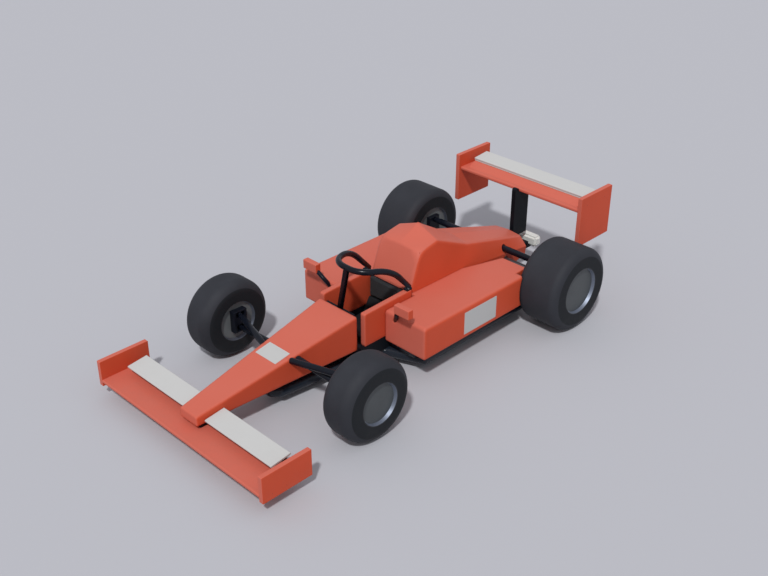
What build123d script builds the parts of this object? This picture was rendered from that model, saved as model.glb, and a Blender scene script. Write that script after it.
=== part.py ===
"""Open wheel racing car, in millimetres.

+Y points to the rear of the car, +X to the driver's left and +Z up. The origin lies on the road,
under the middle of the car.
"""

from build123d import *
import os

os.makedirs("parts", exist_ok=True)

# Lengths along the car
front_overhang = 1068.8
wheelbase = 2196.7
rear_overhang = 797.3

# Tyres and rims
front_tyre_radius = 320.9
front_tyre_width = 288.0
front_tyre_outer_x = 922.4
front_shoulder_radius = 92.0
front_rim_radius = 169.6
rear_tyre_radius = 354.1
rear_tyre_width = 385.0
rear_tyre_outer_x = 1000.0
rear_shoulder_radius = 65.0
rear_rim_radius = 199.7
rim_recess = 25.0
rim_lip = 6.0
rim_slope = 16.0
bead_clearance = 0.1

# Fits
running_clearance = 0.05
seat_clearance = 0.3
moving_clearance = 6.0

# Floor
floor_bottom_z = 60.0
floor_thickness = 80.0
floor_edge_radius = 35.0
floor_corner_radius = 36.0
floor_front_ahead = 270.0
floor_front_half = 40.0
floor_neck_half = 111.0
floor_neck_back = 222.0
floor_neck_rear_half = 160.0
floor_waist_half = 240.0
floor_waist_back = 710.0
floor_shoulder_length = 130.0
floor_half = 560.0
floor_rear_half = 300.0
floor_rear_taper_ahead = 154.0
floor_rear_behind = 250.0
plinth_height = 82.0
plinth_outer_x = 500.0
plinth_inset = 70.0

# Nose: the two end sections of its loft
nose_tip_behind_front = 124.4
nose_tip_top_half = 93.0
nose_tip_bottom_half = 99.0
nose_tip_bottom_z = 191.0
nose_tip_top_z = 271.0
nose_length = 1408.0
nose_rear_half = 207.0
nose_rear_bottom_z = 214.0
nose_rear_top_z = 513.0
nose_edge_radius = 18.0
nose_tip_radius = 8.0

# Cockpit
tub_length = 561.0
tub_wall = 50.0
tub_half = 250.0
tub_floor_thickness = 25.0
tub_height = 115.0
bulkhead_thickness = 36.0
bulkhead_half = 150.0
bulkhead_top_z = 500.0
seat_bulkhead_thickness = 17.0
seat_bulkhead_gap = 5.0
seat_gap = 20.0
headrest_gap = 10.0
side_gap_to_nose = 44.0
side_gap_to_cover = 12.0
side_front_top_z = 532.0
side_rear_top_z = 546.0
side_corner_radius = 14.0
side_edge_radius = 6.0
seat_pan_length = 385.0
seat_pan_thickness = 50.0
seat_back_top_z = 330.0
seat_back_thickness = 39.0
seat_back_foot_thickness = 104.0
seat_edge_radius = 18.0
seat_top_radius = 11.0
headrest_depth = 40.0
headrest_top_z = 530.0
headrest_edge_radius = 14.0

# Sidepods
pod_outer_x = 669.0
pod_front_ahead = 312.0
pod_top_z = 495.0
pod_tail_ahead = 194.0
pod_tail_inner_x = 358.0
pod_waist_ahead = 419.0
pod_waist_x = 288.0
pod_root_ahead = 640.0
pod_root_x = 215.0
pod_corner_radius = 18.0
pod_top_radius = 25.0
pod_bottom_radius = 15.0
pod_seam = 1.0
tyre_cut_clearance = 12.0
tyre_cut_from_x = 600.0

# Engine cover: places of its cross sections, and how far their corners lie in from the tub's half
# width. Columns: inset of the foot and its height over the floor, inset and height of the side, inset
# and height of the ridge, height of the crest
cover_brow_back = 104.0
cover_peak_back = 313.0
cover_shoulder_ahead = 469.1
cover_end_behind = 293.9
cover_front = (18.0, 0.0, 24.0, 400.0, 31.0, 510.0, 518.0)
cover_brow = (16.0, 0.0, 21.0, 480.0, 33.0, 812.0, 820.0)
cover_peak = (12.0, 0.0, 17.0, 480.0, 37.0, 840.0, 925.0)
cover_shoulder = (6.0, 0.0, 10.0, 470.0, 57.0, 667.0, 690.0)
cover_end = (45.0, 153.0, 38.0, 368.0, 110.0, 446.0, 459.0)
cover_wall = 15.0
cover_edge_radius = 34.0

# Engine and gearbox
engine_behind_cover_front = 268.0
engine_length = 560.0
engine_half = 175.0
engine_height = 380.0
engine_chamfer = 60.0
gearbox_half = 110.0
gearbox_front_top_z = 540.0
gearbox_mid_top_z = 474.0
gearbox_rear_top_z = 390.0
gearbox_bottom_z = 170.0
gearbox_rear_bottom_z = 240.0
gearbox_behind_axle = 266.0
gearbox_top_bend_behind_axle = 56.0
gearbox_bottom_bend_behind_axle = 66.0
gearbox_edge_radius = 12.0

# Halo
halo_tube_radius = 20.0
halo_pylon_radius = 21.0
halo_foot_inset = 31.0
halo_foot_ahead_of_cover = 13.0
halo_foot_top_z = 563.0
halo_bend_inset = 20.0
halo_bend_behind_nose = 336.0
halo_bend_z = 795.0
halo_front_x = 136.0
halo_front_behind_nose = 101.0
halo_front_z = 815.0
halo_bend_radius = 313.0
halo_front_radius = 165.0
halo_pad_half = 21.0
halo_pad_length = 52.0
halo_pylon_foot_behind_nose = 24.0

# Mirrors
mirror_inner_x = 428.0
mirror_outer_x = 578.0
mirror_ahead_of_pod = 83.0
mirror_depth = 52.0
mirror_bottom_z = 569.0
mirror_top_z = 645.0
mirror_edge_radius = 6.0
mirror_glass_margin = 8.0
mirror_glass_thickness = 4.0
stay_radius = 14.0
stay_foot_x = 348.0
stay_foot_behind_pod_front = 19.5
stay_foot_z = 426.0
stay_head_x = 446.0
stay_head_ahead_of_pod = 62.0
stay_head_z = 590.0

# Front wing
front_plane_chord = 330.0
front_plane_thickness = 26.0
front_plane_radius = 9.0
front_plane_top_z = 158.0
front_plate_outer_x = 941.5
front_plate_thickness = 38.0
front_plate_length = 419.0
front_plate_bottom_z = 101.6
front_plate_top_z = 312.1
front_flap_behind_front = 176.0
front_flap_chord = 170.0
front_flap_front_z = 237.0
front_flap_rear_z = 258.0
front_flap_thickness = 14.0
front_flap_radius = 5.0
front_flap_inner_x = 116.0
front_flap_outer_x = 820.0
hanger_x = 66.0
hanger_half_width = 12.0
hanger_behind_tip = 40.0
hanger_length = 110.0
flap_bracket_half_width = 6.0
flap_bracket_length = 36.0
flap_bracket_inset = 26.0

# Rear wing
rear_plate_outer_x = 687.3
rear_plate_thickness = 40.0
rear_plate_length = 425.8
rear_plate_bottom_z = 501.5
rear_plate_top_z = 938.4
plate_corner_radius = 6.0
plate_edge_radius = 3.0
rear_plane_behind_plate = 22.4
rear_plane_chord = 222.0
rear_plane_thickness = 30.0
rear_plane_radius = 10.0
rear_plane_top_z = 821.0
rear_flap_half = 600.0
rear_flap_behind_plate = 154.0
rear_flap_chord = 170.0
rear_flap_front_z = 885.0
rear_flap_rear_z = 900.0
rear_flap_thickness = 20.0
rear_flap_radius = 6.0
flap_post_x = 420.0
flap_post_behind_flap_front = 74.0
flap_post_half_width = 8.0
flap_post_length = 14.0
pylon_half = 20.0
pylon_ahead_of_plane = 47.0
pylon_length = 187.0
pylon_top_radius = 20.0
pylon_top_above_plane = 4.0

# Tail
tail_half = 45.0
tail_top_z = 365.0
tail_bottom_z = 200.0
tail_end_top_z = 262.0
tail_length = 326.0
tail_seat_length = 39.0
tail_slope_length = 120.0
tow_hole_radius = 15.0
tow_hole_ahead_of_end = 70.0
tow_hole_z = 231.0
tail_block_half = 122.0
tail_block_depth = 45.0
tail_block_bottom_z = 195.0
tail_block_top_z = 318.0
tail_block_edge_radius = 6.0

# Suspension and hubs
upright_half_length = 62.5
upright_thickness = 53.0
front_upright_bottom_z = 243.0
front_upright_top_z = 428.0
rear_upright_bottom_z = 278.0
rear_upright_top_z = 478.0
rear_upright_thickness = 40.0
upright_edge_radius = 4.0
kingpin_in_upright = 18.0
kingpin_radius = 8.0
eye_radius = 17.0
eye_height = 34.0
eye_clearance = 6.0
eye_pocket_half = 40.0
eye_web = 12.0
lower_pocket_rise = 9.0
arm_radius = 18.0
front_arm_root_x = 120.0
front_upper_arm_root_ahead = 146.9
front_upper_arm_root_z = 385.0
front_lower_arm_root_ahead = 90.6
front_lower_arm_root_z = 390.0
rear_upper_arm_z = 450.0
rear_upper_arm_radius = 22.0
rear_lower_arm_z = 305.0
axle_radius = 25.0
axle_length = 90.0
axle_end_clearance = 6.0
shaft_radius = 22.0
shaft_reach_in_rim = 120.0
shaft_reach_in_gearbox = 40.0
arm_hole_clearance = 10.0

# Places that follow from the sizes above
front_end_y = -(front_overhang + wheelbase + rear_overhang) / 2
front_axle_y = front_end_y + front_overhang
rear_axle_y = front_axle_y + wheelbase
rear_end_y = rear_axle_y + rear_overhang
floor_top_z = floor_bottom_z + floor_thickness
plinth_top_z = floor_top_z + plinth_height
nose_tip_y = front_end_y + nose_tip_behind_front
nose_rear_y = nose_tip_y + nose_length
tub_top_z = floor_top_z + tub_height
tub_rear_y = nose_rear_y + tub_length
seat_bulkhead_y = tub_rear_y - seat_bulkhead_thickness
side_front_y = nose_rear_y + side_gap_to_nose
side_rear_y = tub_rear_y - side_gap_to_cover
cockpit_half = tub_half - tub_wall
seat_bulkhead_half = cockpit_half - seat_bulkhead_gap
seat_half = cockpit_half - seat_gap
headrest_half = cockpit_half - headrest_gap
cover_front_y = tub_rear_y
cover_rear_y = rear_axle_y + cover_end_behind
pod_front_y = tub_rear_y - pod_front_ahead
mirror_front_y = pod_front_y - mirror_ahead_of_pod
mirror_middle_x = (mirror_inner_x + mirror_outer_x) / 2
mirror_middle_z = (mirror_bottom_z + mirror_top_z) / 2
gearbox_front_y = cover_front_y + engine_behind_cover_front + engine_length
gearbox_rear_y = rear_axle_y + gearbox_behind_axle
rear_plate_front_y = rear_end_y - rear_plate_length
rear_plane_front_y = rear_plate_front_y + rear_plane_behind_plate
pylon_front_y = rear_plane_front_y - pylon_ahead_of_plane
front_tyre_inner_x = front_tyre_outer_x - front_tyre_width
rear_tyre_inner_x = rear_tyre_outer_x - rear_tyre_width
front_upright_outer_x = front_tyre_inner_x + rim_recess - moving_clearance
rear_upright_outer_x = rear_tyre_inner_x + rim_recess - moving_clearance
kingpin_x = front_upright_outer_x - upright_thickness + kingpin_in_upright
rear_upright_inner_x = rear_upright_outer_x - rear_upright_thickness

SIDES = (("left", 1), ("right", -1))


def save(piece, name):
    """Label a finished piece and write it to its own file."""
    piece.part.label = name
    export_step(piece.part, f"parts/{name}.step")
    print(name, round(piece.part.volume), len(piece.part.solids()))


def line_plane(start, end):
    """Plane at the start of a straight tube, facing its end."""
    return Plane(origin=start, z_dir=Vector(*end) - Vector(*start))


def line_length(start, end):
    """Length of a straight tube."""
    return (Vector(*end) - Vector(*start)).length


def across(y):
    """Plane across the car at y, with X to the side and Z up."""
    return Plane(origin=(0, y, 0), x_dir=(1, 0, 0), z_dir=(0, -1, 0))


def flip(points, sx):
    """The same outline on the side that sx names."""
    return tuple((sx * x, y) for x, y in points)


def block(half, front_y, rear_y):
    """Corners of a rectangle centred on the car's middle plane."""
    return ((-half, front_y), (half, front_y), (half, rear_y), (-half, rear_y))


def front_arm_lines(sx):
    """Start in the nose and end at the kingpin of the upper and lower front arm."""
    upper_z = front_upright_top_z - eye_web - eye_clearance - eye_height / 2
    lower_z = front_upright_bottom_z + eye_web + eye_clearance + eye_height / 2
    upper_root_y = front_axle_y - front_upper_arm_root_ahead
    lower_root_y = front_axle_y - front_lower_arm_root_ahead
    root_x = sx * front_arm_root_x
    pin_x = sx * kingpin_x
    return (
        ((root_x, upper_root_y, front_upper_arm_root_z), (pin_x, front_axle_y, upper_z)),
        ((root_x, lower_root_y, front_lower_arm_root_z), (pin_x, front_axle_y, lower_z)),
    )


def stay_line(sx):
    """Foot in the sidepod and head in the mirror of a mirror stay."""
    return (
        (sx * stay_foot_x, pod_front_y + stay_foot_behind_pod_front, stay_foot_z),
        (sx * stay_head_x, pod_front_y - stay_head_ahead_of_pod, stay_head_z),
    )


# Height and radius of what passes the engine cover's sides at the rear axle
rear_links = (
    (rear_upper_arm_z, rear_upper_arm_radius),
    (rear_lower_arm_z, arm_radius),
    (rear_tyre_radius, shaft_radius),
)

plinth_outline = (
    (tub_half + pod_seam, pod_front_y + plinth_inset),
    (plinth_outer_x, pod_front_y + plinth_inset),
    (plinth_outer_x, rear_axle_y - pod_tail_ahead - plinth_inset),
    (pod_tail_inner_x, rear_axle_y - pod_tail_ahead - plinth_inset),
    (pod_waist_x, rear_axle_y - pod_waist_ahead),
    (tub_half + pod_seam, rear_axle_y - pod_root_ahead),
)


# Floor: a rounded slab with a narrow nose and two plinths that carry the sidepods
floor_outline = (
    (floor_front_half, front_axle_y - floor_front_ahead),
    (floor_neck_half, front_axle_y - floor_front_ahead + floor_neck_half - floor_front_half),
    (floor_neck_rear_half, front_axle_y + floor_neck_back),
    (floor_waist_half, front_axle_y + floor_waist_back),
    (floor_half, front_axle_y + floor_waist_back + floor_shoulder_length),
    (floor_half, rear_axle_y - floor_rear_taper_ahead),
    (floor_rear_half, rear_axle_y - floor_rear_taper_ahead + floor_half - floor_rear_half),
    (floor_rear_half, rear_axle_y + floor_rear_behind),
)
floor_mirror = tuple((-x, y) for x, y in reversed(floor_outline))
with BuildPart() as floor:
    with BuildSketch(Plane.XY.offset(floor_bottom_z)):
        Polygon(*floor_outline, *floor_mirror, align=None)
    extrude(amount=floor_thickness)
    fillet(floor.edges().filter_by(Axis.Z), floor_corner_radius)
    slab_rims = floor.faces().filter_by(Axis.Z).edges()
    fillet(slab_rims, floor_edge_radius)
    for _, sx in SIDES:
        with BuildSketch(Plane.XY.offset(floor_top_z)):
            Polygon(*flip(plinth_outline, sx), align=None)
        extrude(amount=plinth_height)
save(floor, "floor")

# Nose: a tapered box with rounded edges, lofted from its tip to the cockpit
nose_sections = (
    (nose_tip_y, nose_tip_bottom_half, nose_tip_bottom_z, nose_tip_top_half, nose_tip_top_z),
    (nose_rear_y, nose_rear_half, nose_rear_bottom_z, nose_rear_half, nose_rear_top_z),
)
with BuildPart() as nose:
    for y, bottom_half, bottom_z, top_half, top_z in nose_sections:
        with BuildSketch(across(y)):
            Polygon(
                (-bottom_half, bottom_z), (bottom_half, bottom_z), (top_half, top_z), (-top_half, top_z),
                align=None,
            )
    loft(ruled=True)
    long_edges = nose.edges().filter_by(lambda e: abs(e.tangent_at(0.5).Y) > 0.8)
    fillet(long_edges, nose_edge_radius)
    fillet(nose.faces().sort_by(Axis.Y)[0].edges(), nose_tip_radius)
    for start, end in front_arm_lines(1) + front_arm_lines(-1):
        with BuildSketch(line_plane(start, end)):
            Circle(arm_radius + seat_clearance)
        extrude(amount=line_length(start, end) / 2, mode=Mode.SUBTRACT)
save(nose, "nose")

# Cockpit tub: an open tray with a bulkhead at each end
with BuildPart() as cockpit_tub:
    with BuildSketch(Plane.XY.offset(floor_top_z)):
        Polygon(*block(tub_half, nose_rear_y, tub_rear_y), align=None)
    extrude(amount=tub_height)
    with BuildSketch(Plane.XY.offset(tub_top_z)):
        Polygon(*block(bulkhead_half, nose_rear_y, nose_rear_y + bulkhead_thickness), align=None)
    extrude(amount=bulkhead_top_z - tub_top_z)
    with BuildSketch(Plane.XY.offset(tub_top_z)):
        Polygon(*block(seat_bulkhead_half, seat_bulkhead_y, tub_rear_y), align=None)
    extrude(amount=bulkhead_top_z - tub_top_z)
    with BuildSketch(Plane.XY.offset(floor_top_z + tub_floor_thickness)):
        Polygon(
            *block(cockpit_half, nose_rear_y + bulkhead_thickness, seat_bulkhead_y), align=None
        )
    extrude(amount=tub_height - tub_floor_thickness, mode=Mode.SUBTRACT)
save(cockpit_tub, "cockpit_tub")

# Cockpit sides: upright panels standing on the tub's walls
side_outline = (
    (side_front_y, tub_top_z),
    (side_rear_y, tub_top_z),
    (side_rear_y, side_rear_top_z),
    (side_front_y, side_front_top_z),
)
for side, sx in SIDES:
    with BuildPart() as cockpit_side:
        with BuildSketch(Plane.YZ.offset(sx * cockpit_half)):
            Polygon(*side_outline, align=None)
        extrude(amount=sx * tub_wall)
        fillet(cockpit_side.edges().filter_by(Axis.X).group_by(Axis.Z)[1:], side_corner_radius)
        side_rims = cockpit_side.faces().filter_by(Axis.X).edges()
        fillet(side_rims.filter_by(lambda e: e.center().Z > tub_top_z + 1), side_edge_radius)
    save(cockpit_side, f"cockpit_side_{side}")

# Seat and headrest
seat_floor_z = floor_top_z + tub_floor_thickness
seat_back_y = seat_bulkhead_y - seat_clearance
with BuildPart() as seat:
    with BuildSketch(Plane.YZ.offset(-seat_half)):
        Polygon(
            (seat_back_y - seat_pan_length, seat_floor_z),
            (seat_back_y, seat_floor_z),
            (seat_back_y, seat_back_top_z),
            (seat_back_y - seat_back_thickness, seat_back_top_z),
            (seat_back_y - seat_back_foot_thickness, seat_floor_z + seat_pan_thickness),
            (seat_back_y - seat_pan_length, seat_floor_z + seat_pan_thickness),
            align=None,
        )
    extrude(amount=2 * seat_half)
    fillet(seat.edges().filter_by(Axis.X).group_by(Axis.Z)[-1], seat_top_radius)
    fillet(seat.edges().filter_by(Axis.X).sort_by(Axis.Y)[:2].sort_by(Axis.Z)[-1], seat_edge_radius)
save(seat, "seat")

with BuildPart() as headrest:
    with BuildSketch(Plane.XY.offset(seat_back_top_z + seat_clearance)):
        Polygon(*block(headrest_half, seat_back_y - headrest_depth, seat_back_y), align=None)
    extrude(amount=headrest_top_z - seat_back_top_z - seat_clearance)
    fillet(headrest.faces().sort_by(Axis.Y)[0].edges(), headrest_edge_radius)
save(headrest, "headrest")


cover_places = (
    (cover_front_y, cover_front),
    (cover_front_y + cover_brow_back, cover_brow),
    (cover_front_y + cover_peak_back, cover_peak),
    (rear_axle_y - cover_shoulder_ahead, cover_shoulder),
    (cover_rear_y, cover_end),
)


def cover_sections(grow):
    """Cross sections of the engine cover, all grown outwards, or shrunk for a shell's inside."""
    wall = -min(grow, 0.0)
    sections = []
    for y, (foot_in, foot_up, side_in, side_z, ridge_in, ridge_z, crest_z) in cover_places:
        foot = tub_half - foot_in + grow
        middle = tub_half - side_in + grow
        ridge = tub_half - ridge_in + grow
        base_z = floor_top_z + foot_up - abs(grow)
        # Inside a shell, the front and the brow lie one wall further back
        place = y + wall if y < cover_front_y + cover_peak_back else y
        with BuildSketch(across(place)) as section:
            Polygon(
                (-foot, base_z), (foot, base_z), (middle, side_z), (ridge, ridge_z + grow),
                (0, crest_z + grow), (-ridge, ridge_z + grow), (-middle, side_z),
                align=None,
            )
        sections.append(section.sketch)
    return sections


# Engine cover: a shell open below and behind, with the arms and drive shafts passing its sides
with BuildPart() as engine_cover:
    loft(cover_sections(0.0), ruled=True)
    upper_edges = engine_cover.edges().filter_by(
        lambda e: e.center().Z > pod_top_z + pod_seam and e.center().Y < cover_rear_y - pod_seam
    )
    fillet(upper_edges, cover_edge_radius)
    loft(cover_sections(-cover_wall), ruled=True, mode=Mode.SUBTRACT)
    for z, radius in rear_links:
        with BuildSketch(Plane.YZ.offset(-pod_outer_x)):
            with Locations((rear_axle_y, z)):
                Circle(radius + arm_hole_clearance)
        extrude(amount=2 * pod_outer_x, mode=Mode.SUBTRACT)
save(engine_cover, "engine_cover")

# Engine: a plain block on the floor behind the cockpit
with BuildPart() as engine:
    with BuildSketch(Plane.XY.offset(floor_top_z)):
        Polygon(*block(engine_half, gearbox_front_y - engine_length, gearbox_front_y), align=None)
    extrude(amount=engine_height)
    chamfer(engine.faces().sort_by(Axis.Z)[-1].edges().filter_by(Axis.Y), engine_chamfer)
save(engine, "engine")

# Gearbox: carries the rear arms, drive shafts and tail
with BuildPart() as gearbox:
    with BuildSketch(Plane.YZ.offset(-gearbox_half)):
        Polygon(
            (gearbox_front_y, gearbox_bottom_z),
            (gearbox_front_y, gearbox_front_top_z),
            (rear_axle_y + gearbox_top_bend_behind_axle, gearbox_mid_top_z),
            (gearbox_rear_y, gearbox_rear_top_z),
            (gearbox_rear_y, gearbox_rear_bottom_z),
            (rear_axle_y + gearbox_bottom_bend_behind_axle, gearbox_bottom_z),
            align=None,
        )
    extrude(amount=2 * gearbox_half)
    long_edges = gearbox.edges().filter_by(
        lambda e: abs(e.tangent_at(0.5).X) < 0.1 and abs(e.tangent_at(0.5).Y) > 0.5
    )
    fillet(long_edges, gearbox_edge_radius)
    for _, sx in SIDES:
        with BuildSketch(Plane.YZ.offset(sx * gearbox_half)):
            with Locations((rear_axle_y, rear_tyre_radius)):
                Circle(shaft_radius + running_clearance)
        extrude(amount=-sx * (shaft_reach_in_gearbox + seat_clearance), mode=Mode.SUBTRACT)
save(gearbox, "gearbox")

# Sidepods: boxes with rounded edges, fitted round the engine cover and the rear tyres
pod_rear_y = rear_axle_y - pod_tail_ahead
pod_inner_x = tub_half + pod_seam
pod_outline = (
    (pod_inner_x, pod_front_y),
    (pod_outer_x, pod_front_y),
    (pod_outer_x, pod_rear_y),
    (pod_tail_inner_x, pod_rear_y),
    (pod_waist_x, rear_axle_y - pod_waist_ahead),
    (pod_root_x, rear_axle_y - pod_root_ahead),
    (pod_root_x, tub_rear_y + pod_seam),
    (pod_inner_x, tub_rear_y + pod_seam),
)
grown_cover = loft(cover_sections(pod_seam), ruled=True)
for side, sx in SIDES:
    with BuildPart() as sidepod:
        with BuildSketch(Plane.XY.offset(plinth_top_z)):
            Polygon(*flip(pod_outline, sx), align=None)
        extrude(amount=pod_top_z - plinth_top_z)
        corners = sidepod.edges().filter_by(Axis.Z).filter_by(
            lambda e: abs(e.center().X) > pod_tail_inner_x or e.center().Y < pod_front_y + 1
        )
        fillet(corners, pod_corner_radius)
        rims = sidepod.edges().filter_by(
            lambda e: abs(e.center().X) > pod_tail_inner_x + 1 and abs(e.tangent_at(0.5).Z) < 0.1
        )
        fillet(rims.group_by(Axis.Z)[-1], pod_top_radius)
        fillet(rims.group_by(Axis.Z)[0], pod_bottom_radius)
        add(grown_cover, mode=Mode.SUBTRACT)
        with BuildSketch(Plane.YZ.offset(sx * tyre_cut_from_x)):
            with Locations((rear_axle_y, rear_tyre_radius)):
                Circle(rear_tyre_radius + tyre_cut_clearance)
        extrude(amount=sx * pod_outer_x, mode=Mode.SUBTRACT)
        foot, head = stay_line(sx)
        with BuildSketch(line_plane(foot, head)):
            Circle(stay_radius + seat_clearance)
        extrude(amount=line_length(foot, head) / 2, mode=Mode.SUBTRACT)
    save(sidepod, f"sidepod_{side}")

# Halo: a ring of tube on two feet, with a pylon down to the front bulkhead
halo_foot = (tub_half - halo_foot_inset, cover_front_y - halo_foot_ahead_of_cover, halo_foot_top_z)
halo_bend = (tub_half - halo_bend_inset, nose_rear_y + halo_bend_behind_nose, halo_bend_z)
halo_front = (halo_front_x, nose_rear_y + halo_front_behind_nose, halo_front_z)
half_route = (halo_foot, halo_bend, halo_front)
halo_route = half_route + tuple((-x, y, z) for x, y, z in reversed(half_route))
halo_bends = (halo_bend_radius, halo_front_radius, halo_front_radius, halo_bend_radius)
with BuildPart() as halo:
    with BuildLine() as halo_path:
        FilletPolyline(*halo_route, radius=halo_bends)
    with BuildSketch(Plane(origin=halo_path.line @ 0, z_dir=halo_path.line % 0)):
        Circle(halo_tube_radius)
    sweep(path=halo_path.line)
    for _, sx in SIDES:
        pad_y = halo_foot[1] - halo_tube_radius
        with BuildSketch(Plane.XY.offset(side_rear_top_z)):
            Polygon(
                *flip(
                    (
                        (tub_half - tub_wall / 2 - halo_pad_half, pad_y - halo_pad_length / 2),
                        (tub_half - tub_wall / 2 + halo_pad_half, pad_y - halo_pad_length / 2),
                        (tub_half - tub_wall / 2 + halo_pad_half, pad_y + halo_pad_length / 2),
                        (tub_half - tub_wall / 2 - halo_pad_half, pad_y + halo_pad_length / 2),
                    ),
                    sx,
                ),
                align=None,
            )
        extrude(amount=halo_foot_top_z - side_rear_top_z)
    pylon_top = (0, halo_front[1], halo_front_z)
    pylon_foot = (0, nose_rear_y + halo_pylon_foot_behind_nose, bulkhead_top_z)
    with BuildSketch(line_plane(pylon_top, pylon_foot)):
        Circle(halo_pylon_radius)
    extrude(amount=line_length(pylon_top, pylon_foot) + halo_pylon_radius)
    with BuildSketch(Plane.XY.offset(bulkhead_top_z)):
        Rectangle(4 * tub_half, 4 * halo_bend_z)
    extrude(amount=-halo_bend_z, mode=Mode.SUBTRACT)
save(halo, "halo")

# Mirrors: a rounded housing with a glass let into its back, on a stay from the sidepod
for side, sx in SIDES:
    with BuildPart() as mirror_housing:
        with BuildSketch(Plane.XY.offset(mirror_bottom_z)):
            Polygon(
                *flip(
                    (
                        (mirror_inner_x, mirror_front_y),
                        (mirror_outer_x, mirror_front_y),
                        (mirror_outer_x, mirror_front_y + mirror_depth),
                        (mirror_inner_x, mirror_front_y + mirror_depth),
                    ),
                    sx,
                ),
                align=None,
            )
        extrude(amount=mirror_top_z - mirror_bottom_z)
        fillet(mirror_housing.edges(), mirror_edge_radius)
        with BuildSketch(across(mirror_front_y + mirror_depth)):
            with Locations((sx * mirror_middle_x, mirror_middle_z)):
                Rectangle(
                    mirror_outer_x - mirror_inner_x - 2 * mirror_glass_margin,
                    mirror_top_z - mirror_bottom_z - 2 * mirror_glass_margin,
                )
        extrude(amount=mirror_glass_thickness, mode=Mode.SUBTRACT)
        foot, head = stay_line(sx)
        with BuildSketch(line_plane(foot, head)):
            Circle(stay_radius + seat_clearance)
        extrude(amount=line_length(foot, head) + seat_clearance, mode=Mode.SUBTRACT)
    save(mirror_housing, f"mirror_{side}")

with BuildPart() as mirror_glasses:
    for _, sx in SIDES:
        with BuildSketch(across(mirror_front_y + mirror_depth)):
            with Locations((sx * mirror_middle_x, mirror_middle_z)):
                Rectangle(
                    mirror_outer_x - mirror_inner_x - 2 * (mirror_glass_margin + seat_clearance),
                    mirror_top_z - mirror_bottom_z - 2 * (mirror_glass_margin + seat_clearance),
                )
        extrude(amount=mirror_glass_thickness)
save(mirror_glasses, "mirror_glasses")

with BuildPart() as mirror_stays:
    for _, sx in SIDES:
        foot, head = stay_line(sx)
        with BuildSketch(line_plane(foot, head)):
            Circle(stay_radius)
        extrude(amount=line_length(foot, head))
save(mirror_stays, "mirror_stays")


def end_plate(outer_x, thickness, front_y, length, bottom_z, top_z, sx):
    """Wing end plate with softened corners and edges."""
    with BuildPart() as plate:
        with BuildSketch(Plane.YZ.offset(sx * (outer_x - thickness))):
            Polygon(
                (front_y, bottom_z),
                (front_y + length, bottom_z),
                (front_y + length, top_z),
                (front_y, top_z),
                align=None,
            )
        extrude(amount=sx * thickness)
        fillet(plate.edges().filter_by(Axis.X), plate_corner_radius)
        fillet(plate.faces().filter_by(Axis.X).edges(), plate_edge_radius)
    return plate


# Front wing
front_plate_inner_x = front_plate_outer_x - front_plate_thickness
with BuildPart() as front_wing_plane:
    with BuildSketch(Plane.YZ.offset(-front_plate_inner_x)):
        Polygon(
            (front_end_y, front_plane_top_z - front_plane_thickness),
            (front_end_y + front_plane_chord, front_plane_top_z - front_plane_thickness),
            (front_end_y + front_plane_chord, front_plane_top_z),
            (front_end_y, front_plane_top_z),
            align=None,
        )
    extrude(amount=2 * front_plate_inner_x)
    fillet(front_wing_plane.edges().filter_by(Axis.X), front_plane_radius)
save(front_wing_plane, "front_wing_plane")

front_flap_y = front_end_y + front_flap_behind_front
front_flap_outline = (
    (front_flap_y, front_flap_front_z - front_flap_thickness),
    (front_flap_y + front_flap_chord, front_flap_rear_z - front_flap_thickness),
    (front_flap_y + front_flap_chord, front_flap_rear_z),
    (front_flap_y, front_flap_front_z),
)
with BuildPart() as front_flaps:
    for _, sx in SIDES:
        with BuildSketch(Plane.YZ.offset(sx * front_flap_inner_x)):
            Polygon(*front_flap_outline, align=None)
        extrude(amount=sx * (front_flap_outer_x - front_flap_inner_x))
    fillet(front_flaps.edges().filter_by(Axis.X), front_flap_radius)
save(front_flaps, "front_flaps")

for side, sx in SIDES:
    plate = end_plate(
        front_plate_outer_x, front_plate_thickness, front_end_y, front_plate_length,
        front_plate_bottom_z, front_plate_top_z, sx,
    )
    save(plate, f"front_endplate_{side}")

# Hangers: two plates from the nose down to the front wing, and two posts under each flap
with BuildPart() as front_wing_hangers:
    for _, sx in SIDES:
        with BuildSketch(Plane.YZ.offset(sx * (hanger_x - hanger_half_width))):
            Polygon(
                (nose_tip_y + hanger_behind_tip, front_plane_top_z),
                (nose_tip_y + hanger_behind_tip + hanger_length, front_plane_top_z),
                (nose_tip_y + hanger_behind_tip + hanger_length, nose_tip_top_z),
                (nose_tip_y + hanger_behind_tip, nose_tip_top_z),
                align=None,
            )
        extrude(amount=sx * 2 * hanger_half_width)
        bracket_rear_y = front_flap_y + front_flap_chord - flap_bracket_inset
        for x in (front_flap_inner_x + flap_bracket_inset, front_flap_outer_x - flap_bracket_inset):
            with BuildSketch(Plane.YZ.offset(sx * x)):
                Polygon(
                    (bracket_rear_y - flap_bracket_length, front_plane_top_z),
                    (bracket_rear_y, front_plane_top_z),
                    (bracket_rear_y, front_flap_rear_z - front_flap_thickness),
                    (bracket_rear_y - flap_bracket_length, front_flap_rear_z - front_flap_thickness),
                    align=None,
                )
            extrude(amount=sx * 2 * flap_bracket_half_width)
    add(nose.part, mode=Mode.SUBTRACT)
    add(front_flaps.part, mode=Mode.SUBTRACT)
save(front_wing_hangers, "front_wing_hangers")

# Rear wing
rear_plate_inner_x = rear_plate_outer_x - rear_plate_thickness
for side, sx in SIDES:
    plate = end_plate(
        rear_plate_outer_x, rear_plate_thickness, rear_plate_front_y, rear_plate_length,
        rear_plate_bottom_z, rear_plate_top_z, sx,
    )
    save(plate, f"rear_endplate_{side}")

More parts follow.
